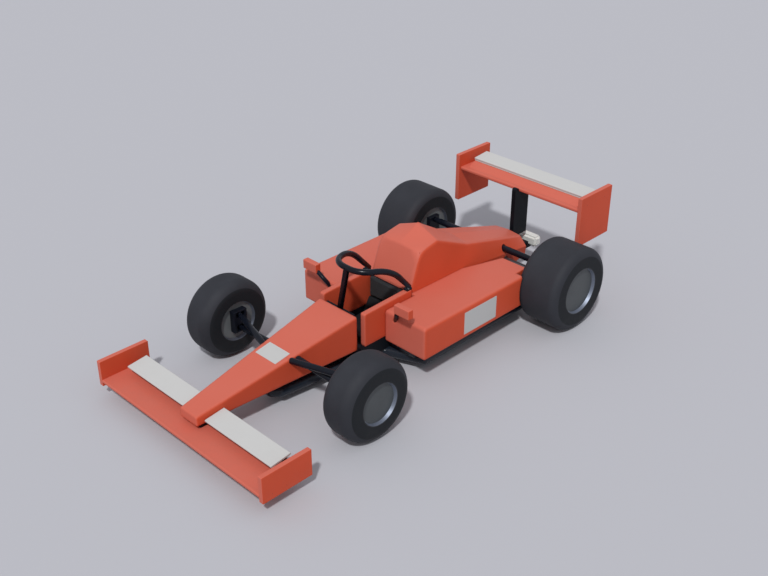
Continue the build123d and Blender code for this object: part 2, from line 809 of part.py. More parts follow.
rear_flap_y = rear_plate_front_y + rear_flap_behind_plate
rear_flap_outline = (
    (rear_flap_y, rear_flap_front_z - rear_flap_thickness),
    (rear_flap_y + rear_flap_chord, rear_flap_rear_z - rear_flap_thickness),
    (rear_flap_y + rear_flap_chord, rear_flap_rear_z),
    (rear_flap_y, rear_flap_front_z),
)
with BuildPart() as rear_flap:
    with BuildSketch(Plane.YZ.offset(-rear_flap_half)):
        Polygon(*rear_flap_outline, align=None)
    extrude(amount=2 * rear_flap_half)
    fillet(rear_flap.edges().filter_by(Axis.X), rear_flap_radius)
save(rear_flap, "rear_flap")

rear_plane_bottom_z = rear_plane_top_z - rear_plane_thickness
flap_post_y = rear_flap_y + flap_post_behind_flap_front
with BuildPart() as rear_wing_plane:
    with BuildSketch(Plane.YZ.offset(-rear_plate_inner_x)):
        Polygon(
            (rear_plane_front_y, rear_plane_bottom_z),
            (rear_plane_front_y + rear_plane_chord, rear_plane_bottom_z),
            (rear_plane_front_y + rear_plane_chord, rear_plane_top_z),
            (rear_plane_front_y, rear_plane_top_z),
            align=None,
        )
    extrude(amount=2 * rear_plate_inner_x)
    fillet(rear_wing_plane.edges().filter_by(Axis.X), rear_plane_radius)
    for _, sx in SIDES:
        with BuildSketch(Plane.YZ.offset(sx * flap_post_x)):
            Polygon(
                (flap_post_y, rear_plane_top_z - rear_plane_thickness / 2),
                (flap_post_y + flap_post_length, rear_plane_top_z - rear_plane_thickness / 2),
                (flap_post_y + flap_post_length, rear_flap_front_z),
                (flap_post_y, rear_flap_front_z),
                align=None,
            )
        extrude(amount=sx * 2 * flap_post_half_width)
    add(rear_flap.part, mode=Mode.SUBTRACT)
save(rear_wing_plane, "rear_wing_plane")

# Pylon: carries the rear wing, its front standing up ahead of the wing's leading edge
pylon_top_z = rear_plane_top_z + pylon_top_above_plane
with BuildPart() as rear_wing_pylon:
    with BuildSketch(Plane.YZ.offset(-pylon_half)):
        Polygon(
            (pylon_front_y, tail_top_z),
            (pylon_front_y + pylon_length, tail_top_z),
            (pylon_front_y + pylon_length, rear_plane_bottom_z),
            (rear_plane_front_y - seat_clearance, rear_plane_bottom_z),
            (rear_plane_front_y - seat_clearance, pylon_top_z),
            (pylon_front_y, pylon_top_z),
            align=None,
        )
    extrude(amount=2 * pylon_half)
    fillet(rear_wing_pylon.edges().filter_by(Axis.X).group_by(Axis.Z)[-1], pylon_top_radius)
save(rear_wing_pylon, "rear_wing_pylon")

# Tail: crash structure behind the gearbox, flat under the pylon's front and low behind it, with a
# hole for a towing pin
tail_end_y = gearbox_rear_y + tail_length
tail_slope_y = pylon_front_y + tail_seat_length
with BuildPart() as crash_structure:
    with BuildSketch(Plane.YZ.offset(-tail_half)):
        Polygon(
            (gearbox_rear_y, tail_bottom_z),
            (tail_end_y, tail_bottom_z),
            (tail_end_y, tail_end_top_z),
            (tail_slope_y + tail_slope_length, tail_end_top_z),
            (tail_slope_y, tail_top_z),
            (gearbox_rear_y, tail_top_z),
            align=None,
        )
        with Locations((tail_end_y - tow_hole_ahead_of_end, tow_hole_z)):
            Circle(tow_hole_radius, mode=Mode.SUBTRACT)
    extrude(amount=2 * tail_half)
save(crash_structure, "crash_structure")

with BuildPart() as tail_block:
    with BuildSketch(across(tail_end_y)):
        with Locations((0, (tail_block_bottom_z + tail_block_top_z) / 2)):
            Rectangle(2 * tail_block_half, tail_block_top_z - tail_block_bottom_z)
    extrude(amount=-tail_block_depth)
    fillet(tail_block.faces().sort_by(Axis.Y)[-1].edges(), tail_block_edge_radius)
save(tail_block, "tail_block")

# Suspension arms
with BuildPart() as front_arms:
    for _, sx in SIDES:
        for start, end in front_arm_lines(sx):
            with BuildSketch(line_plane(start, end)):
                Circle(arm_radius)
            extrude(amount=line_length(start, end))
            with BuildSketch(Plane.XY.offset(end[2] - eye_height / 2)):
                with Locations((end[0], end[1])):
                    Circle(eye_radius)
            extrude(amount=eye_height)
    for start, end in front_arm_lines(1) + front_arm_lines(-1):
        # The tube is wider than the eye, so what stands past the eye is cut away
        with BuildSketch(Plane.XY.offset(end[2] - eye_height)):
            with Locations((end[0], end[1])):
                Rectangle(2 * eye_height, 2 * eye_height)
                Circle(eye_radius, mode=Mode.SUBTRACT)
                with Locations((-eye_height if end[0] > 0 else eye_height, 0)):
                    Rectangle(2 * eye_height, 2 * eye_height, mode=Mode.SUBTRACT)
        extrude(amount=2 * eye_height, mode=Mode.SUBTRACT)
        with BuildSketch(Plane.XY.offset(end[2] - eye_height)):
            with Locations((end[0], end[1])):
                Circle(kingpin_radius + running_clearance)
        extrude(amount=2 * eye_height, mode=Mode.SUBTRACT)
save(front_arms, "front_arms")

with BuildPart() as rear_arms:
    for _, sx in SIDES:
        for z, radius in rear_links[:2]:
            with BuildSketch(Plane.YZ.offset(sx * gearbox_half)):
                with Locations((rear_axle_y, z)):
                    Circle(radius)
            extrude(amount=sx * (rear_upright_inner_x - gearbox_half))
save(rear_arms, "rear_arms")

# Front uprights: each turns on its kingpins in the eyes of the arms and carries an axle
for side, sx in SIDES:
    with BuildPart() as front_upright:
        with BuildSketch(Plane.YZ.offset(sx * (front_upright_outer_x - upright_thickness))):
            Polygon(
                (front_axle_y - upright_half_length, front_upright_bottom_z),
                (front_axle_y + upright_half_length, front_upright_bottom_z),
                (front_axle_y + upright_half_length, front_upright_top_z),
                (front_axle_y - upright_half_length, front_upright_top_z),
                align=None,
            )
        extrude(amount=sx * upright_thickness)
        fillet(front_upright.edges(), upright_edge_radius)
        with BuildSketch(Plane.YZ.offset(sx * front_upright_outer_x)):
            with Locations((front_axle_y, front_tyre_radius)):
                Circle(axle_radius)
        extrude(amount=sx * axle_length)
        for (_, end), rise in zip(front_arm_lines(sx), (0.0, lower_pocket_rise)):
            pocket_bottom_z = end[2] - eye_height / 2 - eye_clearance
            pocket_height = eye_height + 2 * eye_clearance + rise
            with BuildSketch(Plane.XY.offset(pocket_bottom_z)):
                Polygon(
                    *flip(
                        (
                            (kingpin_x - upright_thickness, front_axle_y - eye_pocket_half),
                            (kingpin_x + eye_radius + eye_clearance, front_axle_y - eye_pocket_half),
                            (kingpin_x + eye_radius + eye_clearance, front_axle_y + eye_pocket_half),
                            (kingpin_x - upright_thickness, front_axle_y + eye_pocket_half),
                        ),
                        sx,
                    ),
                    align=None,
                )
            extrude(amount=pocket_height, mode=Mode.SUBTRACT)
            with BuildSketch(Plane.XY.offset(pocket_bottom_z)):
                with Locations((end[0], end[1])):
                    Circle(kingpin_radius)
            extrude(amount=pocket_height)
    save(front_upright, f"front_upright_{side}")

# Rear uprights: fixed to the arms, with a bearing for the drive shaft
for side, sx in SIDES:
    with BuildPart() as rear_upright:
        with BuildSketch(Plane.YZ.offset(sx * rear_upright_inner_x)):
            Polygon(
                (rear_axle_y - upright_half_length, rear_upright_bottom_z),
                (rear_axle_y + upright_half_length, rear_upright_bottom_z),
                (rear_axle_y + upright_half_length, rear_upright_top_z),
                (rear_axle_y - upright_half_length, rear_upright_top_z),
                align=None,
            )
        extrude(amount=sx * rear_upright_thickness)
        fillet(rear_upright.edges(), upright_edge_radius)
        with BuildSketch(Plane.YZ.offset(sx * rear_upright_inner_x)):
            with Locations((rear_axle_y, rear_tyre_radius)):
                Circle(shaft_radius + running_clearance)
        extrude(amount=sx * rear_upright_thickness, mode=Mode.SUBTRACT)
    save(rear_upright, f"rear_upright_{side}")

# Drive shafts: from the gearbox through the upright into the rim
for side, sx in SIDES:
    shaft_start = gearbox_half - shaft_reach_in_gearbox
    shaft_end = rear_tyre_inner_x + shaft_reach_in_rim
    with BuildPart() as driveshaft:
        with BuildSketch(Plane.YZ.offset(sx * shaft_start)):
            with Locations((rear_axle_y, rear_tyre_radius)):
                Circle(shaft_radius)
        extrude(amount=sx * (shaft_end - shaft_start))
    save(driveshaft, f"driveshaft_{side}")

# Wheels. Columns: end, axle y, tyre radius, inner face x, width, shoulder radius, rim radius,
# bore radius, depth of the bore from the tyre's inner face
wheels = (
    ("front", front_axle_y, front_tyre_radius, front_tyre_inner_x, front_tyre_width, front_shoulder_radius,
     front_rim_radius, axle_radius + running_clearance,
     front_upright_outer_x + axle_length + axle_end_clearance - front_tyre_inner_x),
    ("rear", rear_axle_y, rear_tyre_radius, rear_tyre_inner_x, rear_tyre_width, rear_shoulder_radius,
     rear_rim_radius, shaft_radius, shaft_reach_in_rim),
)
for end, axle_y, tyre_radius, inner_x, width, shoulder, rim_radius, bore_radius, bore_depth in wheels:
    for side, sx in SIDES:
        hub_plane = Plane(origin=(0, axle_y, tyre_radius), x_dir=(1, 0, 0), z_dir=(0, -1, 0))
        spin_axis = Axis((0, axle_y, tyre_radius), (1, 0, 0))
        with BuildPart() as tyre:
            with BuildSketch(hub_plane):
                with BuildLine():
                    Polyline(
                        *flip(
                            (
                                (inner_x, rim_radius + bead_clearance),
                                (inner_x + width, rim_radius + bead_clearance),
                                (inner_x + width, tyre_radius),
                                (inner_x, tyre_radius),
                            ),
                            sx,
                        ),
                        close=True,
                    )
                make_face()
            revolve(axis=spin_axis)
            rims = tyre.edges().filter_by(GeomType.CIRCLE).group_by(SortBy.RADIUS)
            fillet(rims[-1], shoulder)
        save(tyre, f"tyre_{end}_{side}")

        with BuildPart() as rim:
            with BuildSketch(hub_plane):
                with BuildLine():
                    Polyline(
                        *flip(
                            (
                                (inner_x, rim_radius),
                                (inner_x + width, rim_radius),
                                (inner_x + width, rim_radius - rim_lip),
                                (inner_x + width - rim_recess, rim_radius - rim_slope),
                                (inner_x + width - rim_recess, 0),
                                (inner_x + bore_depth, 0),
                                (inner_x + bore_depth, bore_radius),
                                (inner_x + rim_recess, bore_radius),
                                (inner_x + rim_recess, rim_radius - rim_slope),
                                (inner_x, rim_radius - rim_lip),
                            ),
                            sx,
                        ),
                        close=True,
                    )
                make_face()
            revolve(axis=spin_axis)
        save(rim, f"rim_{end}_{side}")
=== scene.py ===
"""Looks of an open wheel racing car: paint, rubber, metal, padding, small trim and the studio."""

import math

import bmesh
import bpy
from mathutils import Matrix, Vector
from mathutils.bvhtree import BVHTree


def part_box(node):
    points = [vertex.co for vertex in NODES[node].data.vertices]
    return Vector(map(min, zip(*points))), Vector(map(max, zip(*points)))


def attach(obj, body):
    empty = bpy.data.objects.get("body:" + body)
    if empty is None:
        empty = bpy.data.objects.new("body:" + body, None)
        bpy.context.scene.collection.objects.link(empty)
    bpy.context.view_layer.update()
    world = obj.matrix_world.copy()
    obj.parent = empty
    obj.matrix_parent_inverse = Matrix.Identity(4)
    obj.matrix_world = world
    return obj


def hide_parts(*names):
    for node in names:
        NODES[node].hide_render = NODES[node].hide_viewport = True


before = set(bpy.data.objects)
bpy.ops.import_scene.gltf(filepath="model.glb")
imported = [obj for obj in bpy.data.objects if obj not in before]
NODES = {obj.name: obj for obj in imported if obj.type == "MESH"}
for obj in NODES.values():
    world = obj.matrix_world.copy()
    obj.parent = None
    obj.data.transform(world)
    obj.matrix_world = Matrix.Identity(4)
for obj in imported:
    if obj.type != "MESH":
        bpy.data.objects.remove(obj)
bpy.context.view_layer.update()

bl_info = {
    "name": "Open Wheel Racing Car",
    "version": (1, 0, 0),
    "blender": (4, 5, 0),
    "location": "3D View > Sidebar > Racing Car",
    "description": "Paints and trims an open wheel racing car and lights it in a studio",
    "category": "Object",
}

SIDES = (("left", 1), ("right", -1))
AXLES = ("front", "rear")
DOWN = Vector((0, 0, -1))


def four_of(part):
    """The nodes of a part at the car's four corners."""
    return [f"{axle}_{part}_{side}" for axle in AXLES for side, _ in SIDES]


# Nodes that share a finish
BODY_NODES = ("nose", "cockpit_side_left", "cockpit_side_right", "sidepod_left", "sidepod_right")
SHARP_NODES = (
    "engine_cover", "mirror_left", "mirror_right", "front_wing_plane", "rear_wing_plane",
    *four_of("endplate"),
)
COMPOSITE_NODES = ("cockpit_tub", "front_wing_hangers", "rear_wing_pylon", "crash_structure")

# Nodes that are shown with a sleeve, with their slots
TUBE_NODES = {
    "halo": "black_tube", "mirror_stays": "black_tube", "front_arms": "black_metal",
    "rear_arms": "black_metal",
}

# The border between wall and tread as a share of a tyre's radius, and the width of a rim's lip
WALL_SHARE = 0.825
RIM_LIP = 0.007

# Sleeves: the distance over which one thickens, how far from the middle the halo's feet begin, and
# the angle from which edges stay sharp
SLEEVE_FADE = 0.03
HALO_FEET = 0.15
SLEEVE_CREASE = math.radians(35)

# Rear flap: depth and rise of the lip, how far the wedge sinks into the plane, its reach under the
# flap at its foot and its top, and its height over the lip's foot
LIP_DEPTH, LIP_RISE = 0.020, 0.012
WEDGE_SUNK, WEDGE_REACH, WEDGE_TOP_REACH, WEDGE_RISE = 0.004, 0.015, 0.004, 0.003
LIP_BEVEL, WEDGE_BEVEL = 0.003, 0.001

# Headrest: heights of the sewn channels as shares of its own, a channel's half width, the margin to
# the pad's space, the frames over which it fills and the step along the piping
CHANNELS = (0.34, 0.67)
CHANNEL_HALF = 0.006
PAD_MARGIN = 0.001
FILL_FRAMES = 20
PIPING_STEP = 0.012

# Screws: distances of a line's ends from its node's front and rear, the height over a sidepod's
# foot, and the drop below a wing
POD_SCREW_ENDS, PLATE_SCREW_ENDS = (0.09, 0.30), (0.08, 0.10)
POD_SCREW_HEIGHT, PLATE_SCREW_DROP = 0.045, 0.012

# Where rays start: above and ahead of a piece, and at the car's side
RAY_ABOVE, RAY_AHEAD, RAY_SIDE = 0.1, 0.2, 1.5

FLOOR_HALF = 60.0


# ---- settings


def tint(name, owner, value):
    return bpy.props.FloatVectorProperty(
        name=name, description=f"Colour of {owner}", subtype="COLOR", size=3, min=0.0, max=1.0,
        default=value,
    )


def length(name, description, value):
    return bpy.props.FloatProperty(
        name=name, description=description, unit="LENGTH", precision=4, min=0.0, default=value
    )


def number(name, description, value, high=100.0):
    return bpy.props.FloatProperty(
        name=name, description=description, min=0.0, max=high, default=value
    )


def angle(name, description, degrees):
    return bpy.props.FloatProperty(
        name=name, description=description, subtype="ANGLE", default=math.radians(degrees)
    )


class PaintSettings(bpy.types.PropertyGroup):
    """Colours and finishes of the car."""

    red: tint("Red Paint", "the bodywork", (0.64, 0.088, 0.038))
    # Red Paint On Top is a paler, lit copy of the red: painted light on faces turned up and along
    # the car.
    red_lit_top: tint("Red Paint On Top", "the bodywork where it faces up", (0.64, 0.152, 0.104))
    white: tint("White Paint", "the flaps and the panels", (0.58, 0.58, 0.565))
    black: tint("Black Lacquer", "the floor", (0.009, 0.013, 0.020))
    tube: tint("Tube Enamel", "the halo, the arms and the uprights", (0.0045, 0.006, 0.011))
    composite: tint("Black Composite", "the bare composite", (0.0045, 0.006, 0.009))
    bucket: tint("Bucket Composite", "the driver's bucket", (0.013, 0.015, 0.017))
    tread: tint("Tread Rubber", "the scrubbed tread", (0.027, 0.029, 0.036))
    # Wall Rubber is darker than the tread as painted shade on the tyres' walls; the rims' lips take
    # it too.
    wall: tint("Wall Rubber", "the tyres' walls", (0.009, 0.011, 0.014))
    rim: tint("Rim Disc", "the rims' faces", (0.062, 0.070, 0.074))
    # Rim Inside is the rims' disc colour lightened as painted light, on the faces towards the car,
    # which lie in shade.
    rim_inside_lit: tint("Rim Inside", "the rims' faces towards the car", (0.15, 0.165, 0.17))
    rim_wall: tint("Rim Wall", "the brushed wall round a rim's face", (0.25, 0.28, 0.345))
    alloy: tint("Cast Alloy", "the engine and the gearbox", (0.30, 0.31, 0.32))
    steel: tint("Steel", "the drive shafts", (0.22, 0.22, 0.23))
    block: tint("Pale Block", "the block on the tail", (0.78, 0.79, 0.75))
    cloth: tint("Headrest Cloth", "the padded headrest", (0.011, 0.013, 0.015))
    edge_radius: length("Soft Edge", "Radius over which a painted edge catches light", 0.005)
    body_radius: length("Body Edge", "Radius over which the body's edges are shaded round", 0.022)
    dust: number("Road Dust", "How much dust lies low on the car", 0.25, high=1.0)


class PanelSettings(bpy.types.PropertyGroup):
    """Bare plates on the nose and the sidepods."""

    thickness: length("Thickness", "How far a plate stands off the bodywork", 0.0020)
    bevel: length("Bevel", "Bevel of a plate's rim", 0.0008)
    nose_front: length("Nose Plate Front", "Distance of the plate behind the nose's tip", 0.692)
    nose_length: length("Nose Plate Length", "Length of the nose plate", 0.140)
    nose_half_width: length("Nose Plate Half Width", "Half width of the nose plate", 0.112)
    side_front: length("Side Plate Front", "Distance of a plate behind its sidepod's front", 0.444)
    side_length: length("Side Plate Length", "Length of a side plate", 0.376)
    side_below_top: length("Side Plate Drop", "Distance of a plate below its sidepod's top", 0.044)
    side_height: length("Side Plate Height", "Height of a side plate", 0.192)


class HeadrestSettings(bpy.types.PropertyGroup):
    """The padded headrest."""

    shrink: length("Slack", "How much smaller the pad starts than the space it fills", 0.005)
    corner: length("Corner", "Radius of the pad's corners", 0.012)
    swell: length("Swell", "Furthest that a point moves as the pad fills", 0.009)
    voxel: length("Voxel", "Size of the cloth's faces", 0.005)
    channel_depth: length("Channel Depth", "Depth of the sewn channels", 0.004)
    piping: length("Piping", "Radius of the piping round the front face", 0.0022)
    piping_inset: length("Piping Inset", "Distance of the piping inside the pad's sides", 0.022)


class FastenerSettings(bpy.types.PropertyGroup):
    """Flush screws that hold the bodywork."""

    radius: length("Head Radius", "Radius of a screw's head", 0.0045)
    height: length("Head Height", "How far a screw's head stands proud", 0.0008)
    spacing: length("Spacing", "Distance between screws", 0.110)


class SleeveSettings(bpy.types.PropertyGroup):
    """Sleeves that thicken the halo, the stays and the arms."""

    halo: length("Halo Sleeve", "How much thicker the halo's tube is all round", 0.004)
    mirror_stays: length("Stay Sleeve", "How much thicker the mirrors' stays are all round", 0.005)
    front_arms: length("Front Arm Sleeve", "How much thicker the front arms are all round", 0.007)
    rear_arms: length("Rear Arm Sleeve", "How much thicker the rear arms are all round", 0.005)
    arm_start: length("Arm Fade Start", "Where an arm's sleeve thins out, from the middle", 0.52)
    arm_end: length("Arm Fade End", "Where an arm's sleeve ends, from the middle", 0.57)
    arm_root: length("Arm Root", "Where an arm's sleeve begins, from the middle", 0.13)
    foot: length("Halo Foot", "Height below which the halo's feet carry no sleeve", 0.575)


class TrimSettings(bpy.types.PropertyGroup):
    """The lip and the wedge of the rear flap, and the shown shape of the tail block."""

    lip: length("Flap Lip", "How far the rear flap's lip hangs below its front", 0.010)
    wedge: length("Flap Wedge", "Length of the wedge ahead of the rear flap", 0.095)
    side_gap: length("Side Gap", "Distance of the lip and the wedge from the flap's ends", 0.002)
    block_ahead: length("Block Ahead", "Reach of the shown tail block past the packed one", 0.045)
    block_height: length("Block Height", "Height of the shown tail block", 0.094)
    block_bevel: length("Block Bevel", "Bevel of the shown tail block", 0.018)


class StageSettings(bpy.types.PropertyGroup):
    """Floor, light and camera."""

    floor: tint("Floor", "the floor", (0.52, 0.525, 0.56))
    backdrop: tint("Backdrop", "what lies behind the floor", (0.503, 0.508, 0.554))
    floor_shade: tint("Floor Shade", "the light that the floor sends up", (0.50, 0.505, 0.55))
    key_direction: bpy.props.FloatVectorProperty(
        name="Key Direction", description="Direction from the car to the key light",
        subtype="DIRECTION", default=(0.44, -0.63, 1.0),
    )
    key_strength: number("Key Strength", "Strength of the key light", 1.9)
    key_softness: angle("Key Softness", "Angle that the key light fills", 4)
    fill_strength: number("Fill Strength", "Strength of the light from all round", 0.48)
    camera_place: bpy.props.FloatVectorProperty(
        name="Camera Place", description="Where the camera stands", unit="LENGTH",
        default=(5.1327, -5.1588, 4.6222),
    )
    camera_azimuth: angle("Azimuth", "Turn of the camera round the car", 44.877)
    camera_elevation: angle("Elevation", "Angle by which the camera looks down", 29.645)
    lens: bpy.props.FloatProperty(
        name="Lens", description="Focal length on a sensor 36 mm wide", unit="CAMERA", default=50.0
    )


SETTINGS = {
    "racecar_paint": PaintSettings,
    "racecar_panels": PanelSettings,
    "racecar_headrest": HeadrestSettings,
    "racecar_fasteners": FastenerSettings,
    "racecar_sleeves": SleeveSettings,
    "racecar_trim": TrimSettings,
    "racecar_stage": StageSettings,
}


# ---- node helpers


def feed(tree, socket, value):
    """Joins a socket to another node's output, or sets its value."""
    if isinstance(value, bpy.types.NodeSocket):
        tree.links.new(value, socket)
    else:
        socket.default_value = value


def add_node(tree, kind, inputs=None, **settings):
    """A new node with its settings, its numbers and its links from other nodes."""
    node = tree.nodes.new(kind)
    for name, value in settings.items():
        setattr(node, name, value)
    for key, value in (inputs or {}).items():
        feed(tree, node.inputs[key], value)
    return node


def result(tree, kind, inputs=None, **settings):
    """A new node's first output."""
    return add_node(tree, kind, inputs, **settings).outputs[0]


def maths(tree, operation, *values, clamp=False):
    inputs = dict(enumerate(values))
    return result(tree, "ShaderNodeMath", inputs, operation=operation, use_clamp=clamp)


def times(tree, first, second, clamp=False):
    return maths(tree, "MULTIPLY", first, second, clamp=clamp)


def map_range(tree, value, from_min, from_max, to_min=0.0, to_max=1.0):
    """A value moved smoothly from one range to another."""
    inputs = {0: value, 1: from_min, 2: from_max, 3: to_min, 4: to_max}
    return result(tree, "ShaderNodeMapRange", inputs, interpolation_type="SMOOTHSTEP")


def mix_value(tree, factor, low, high):
    return result(tree, "ShaderNodeMix", {0: factor, 2: low, 3: high})


def mix_colour(tree, factor, low, high):
    inputs = {0: factor, 6: low, 7: high}
    return add_node(tree, "ShaderNodeMix", inputs, data_type="RGBA").outputs[2]


def coordinates(tree, kind):
    return add_node(tree, "ShaderNodeTexCoord").outputs[kind]


def split(tree, vector):
    """A vector's outputs X, Y and Z."""
    return add_node(tree, "ShaderNodeSeparateXYZ", {0: vector}).outputs


def noise(tree, scale, detail, roughness=0.5):
    """Noise over Object coordinates."""
    inputs = {
        "Vector": coordinates(tree, "Object"), "Scale": scale, "Detail": detail,
        "Roughness": roughness,
    }
    return add_node(tree, "ShaderNodeTexNoise", inputs).outputs["Fac"]


def rgba(colour):
    return (*colour, 1.0)


def shade(colour, factor):
    """A colour made darker or lighter."""
    return tuple(min(1.0, channel * factor) for channel in colour)


# ---- shared effects

INPUT_KINDS = {1: "NodeSocketFloat", 3: "NodeSocketVector", 4: "NodeSocketColor"}
OUTPUT_KINDS = {"Colour": "NodeSocketColor", "Normal": "NodeSocketVector"}
EFFECTS = {}


def shared_effect(name, **inputs):
    """Keeps a function that gives a shader node group's outputs, under the group's name."""

    def keep(outputs_of):
        def make():
            tree = bpy.data.node_groups.new(name, "ShaderNodeTree")
            for key, default in inputs.items():
                size = len(default) if isinstance(default, tuple) else 1
                socket = tree.interface.new_socket(
                    name=key.replace("_", " "), in_out="INPUT", socket_type=INPUT_KINDS[size]
                )
                socket.default_value = default
            made = outputs_of(tree, tree.nodes.new("NodeGroupInput").outputs)
            for key in made:
                kind = OUTPUT_KINDS.get(key, "NodeSocketFloat")
                tree.interface.new_socket(name=key, in_out="OUTPUT", socket_type=kind)
            add_node(tree, "NodeGroupOutput", made)
            return tree

        EFFECTS[name] = make
        return outputs_of

    return keep


@shared_effect(
    "Colour Drift", Base=(0.5, 0.5, 0.5, 1), Drift=(0.4, 0.4, 0.4, 1), Size=3.0, Roughness=0.4,
    Roughness_Drift=0.06,
)
def colour_drift(tree, given):
    """Slow changes of colour and gloss, as on any painted surface."""
    share = map_range(tree, noise(tree, given["Size"], 2.0), 0.35, 0.7)
    centred = maths(tree, "SUBTRACT", noise(tree, 38.0, 3.0), 0.5)
    change = times(tree, centred, given["Roughness Drift"])
    return {
        "Colour": mix_colour(tree, share, given["Base"], given["Drift"]),
        "Roughness": maths(tree, "ADD", given["Roughness"], change, clamp=True),
    }


@shared_effect("Soft Edge", Radius=0.005, Strength=1.0)
def soft_edge(tree, given):
    """Where a surface turns sharply, with the rounded normal there."""
    rounded = result(tree, "ShaderNodeBevel", {"Radius": given["Radius"]}, samples=4)
    sharp = add_node(tree, "ShaderNodeNewGeometry").outputs["Normal"]
    along = add_node(tree, "ShaderNodeVectorMath", {0: rounded, 1: sharp}, operation="DOT_PRODUCT")
    turned = map_range(tree, along.outputs["Value"], 0.995, 0.88)
    return {"Mask": times(tree, turned, given["Strength"], clamp=True), "Normal": rounded}


@shared_effect("Road Dust", Amount=0.3, Top=0.32)
def road_dust(tree, given):
    """Dust that thins out with height above the road."""
    low = map_range(tree, split(tree, coordinates(tree, "Object"))["Z"], given["Top"], 0.02)
    patch = map_range(tree, noise(tree, 9.0, 5.0, roughness=0.65), 0.38, 0.72)
    return {"Mask": times(tree, times(tree, low, patch), given["Amount"], clamp=True)}


@shared_effect("Fine Grain", Scale=600.0, Coarse=0.3)
def fine_grain(tree, given):
    """A fine grain for paint, castings and rubber."""
    small = noise(tree, given["Scale"], 2.0)
    large = noise(tree, times(tree, given["Scale"], 0.1), 2.0)
    return {"Height": maths(tree, "ADD", small, times(tree, large, given["Coarse"]))}


@shared_effect("Painted Top Light", Amount=1.0, Normal=(0, 0, 1))
def painted_top_light(tree, given):
    """Faces turned up and along the car, made paler as painted light on their lit tops and fronts,
    a little patchy.
    """
    facing = split(tree, given["Normal"])
    along = map_range(tree, maths(tree, "ABSOLUTE", facing["X"]), 0.88, 0.62)
    upright = map_range(tree, facing["Z"], -0.5, 0.0)
    patch = map_range(tree, noise(tree, 4.0, 3.0), 0.2, 0.8, 0.9, 1.0)
    amount = times(tree, times(tree, along, upright), patch)
    return {"Mask": times(tree, amount, given["Amount"], clamp=True)}


@shared_effect("Twill Weave", Pitch=0.004)
def twill_weave(tree, given):
    """A twill weave on whichever plane a surface faces."""
    place = split(tree, coordinates(tree, "Object"))
    facing = split(tree, coordinates(tree, "Normal"))
    threads = []
    for axis in "XY":
        turned = maths(tree, "GREATER_THAN", maths(tree, "ABSOLUTE", facing[axis]), 0.7)
        flat = mix_value(tree, turned, place[axis], place["Z"])
        threads.append(maths(tree, "DIVIDE", flat, given["Pitch"]))
    step = maths(tree, "ADD", *(maths(tree, "FLOOR", thread) for thread in threads))
    strand = maths(tree, "LESS_THAN", maths(tree, "FLOORED_MODULO", step, 4.0), 2.0)
    warp, weft = (maths(tree, "PINGPONG", thread, 0.5) for thread in threads)
    return {"Height": mix_value(tree, strand, warp, weft), "Strand": strand}


@shared_effect("Wheel Place", Axle_Y=0.0, Axle_Z=0.3, Ring_Pitch=0.002)
def wheel_place(tree, given):
    """Distance from a wheel's axle, rings cut round it, and which way a face looks."""
    place = split(tree, coordinates(tree, "Object"))
    facing = split(tree, coordinates(tree, "Normal"))["X"]
    offsets = [maths(tree, "SUBTRACT", place[axis], given[f"Axle {axis}"]) for axis in "YZ"]
    radius = maths(tree, "SQRT", maths(tree, "ADD", *(times(tree, part, part) for part in offsets)))
    turns = maths(tree, "DIVIDE", radius, given["Ring Pitch"])
    return {
        "Radius": radius,
        "Rings": maths(tree, "PINGPONG", turns, 0.5),
        "Sideways": maths(tree, "ABSOLUTE", facing),
        "Inwards": maths(tree, "LESS_THAN", times(tree, facing, place["X"]), 0.0),
    }


def effect(tree, name, **values):
    """One of the shared effects, placed in a material with its own values."""
    group = bpy.data.node_groups.get(name) or EFFECTS[name]()
    inputs = {key.replace("_", " ").title(): value for key, value in values.items()}
    return add_node(tree, "ShaderNodeGroup", inputs, node_tree=group).outputs


# ---- materials


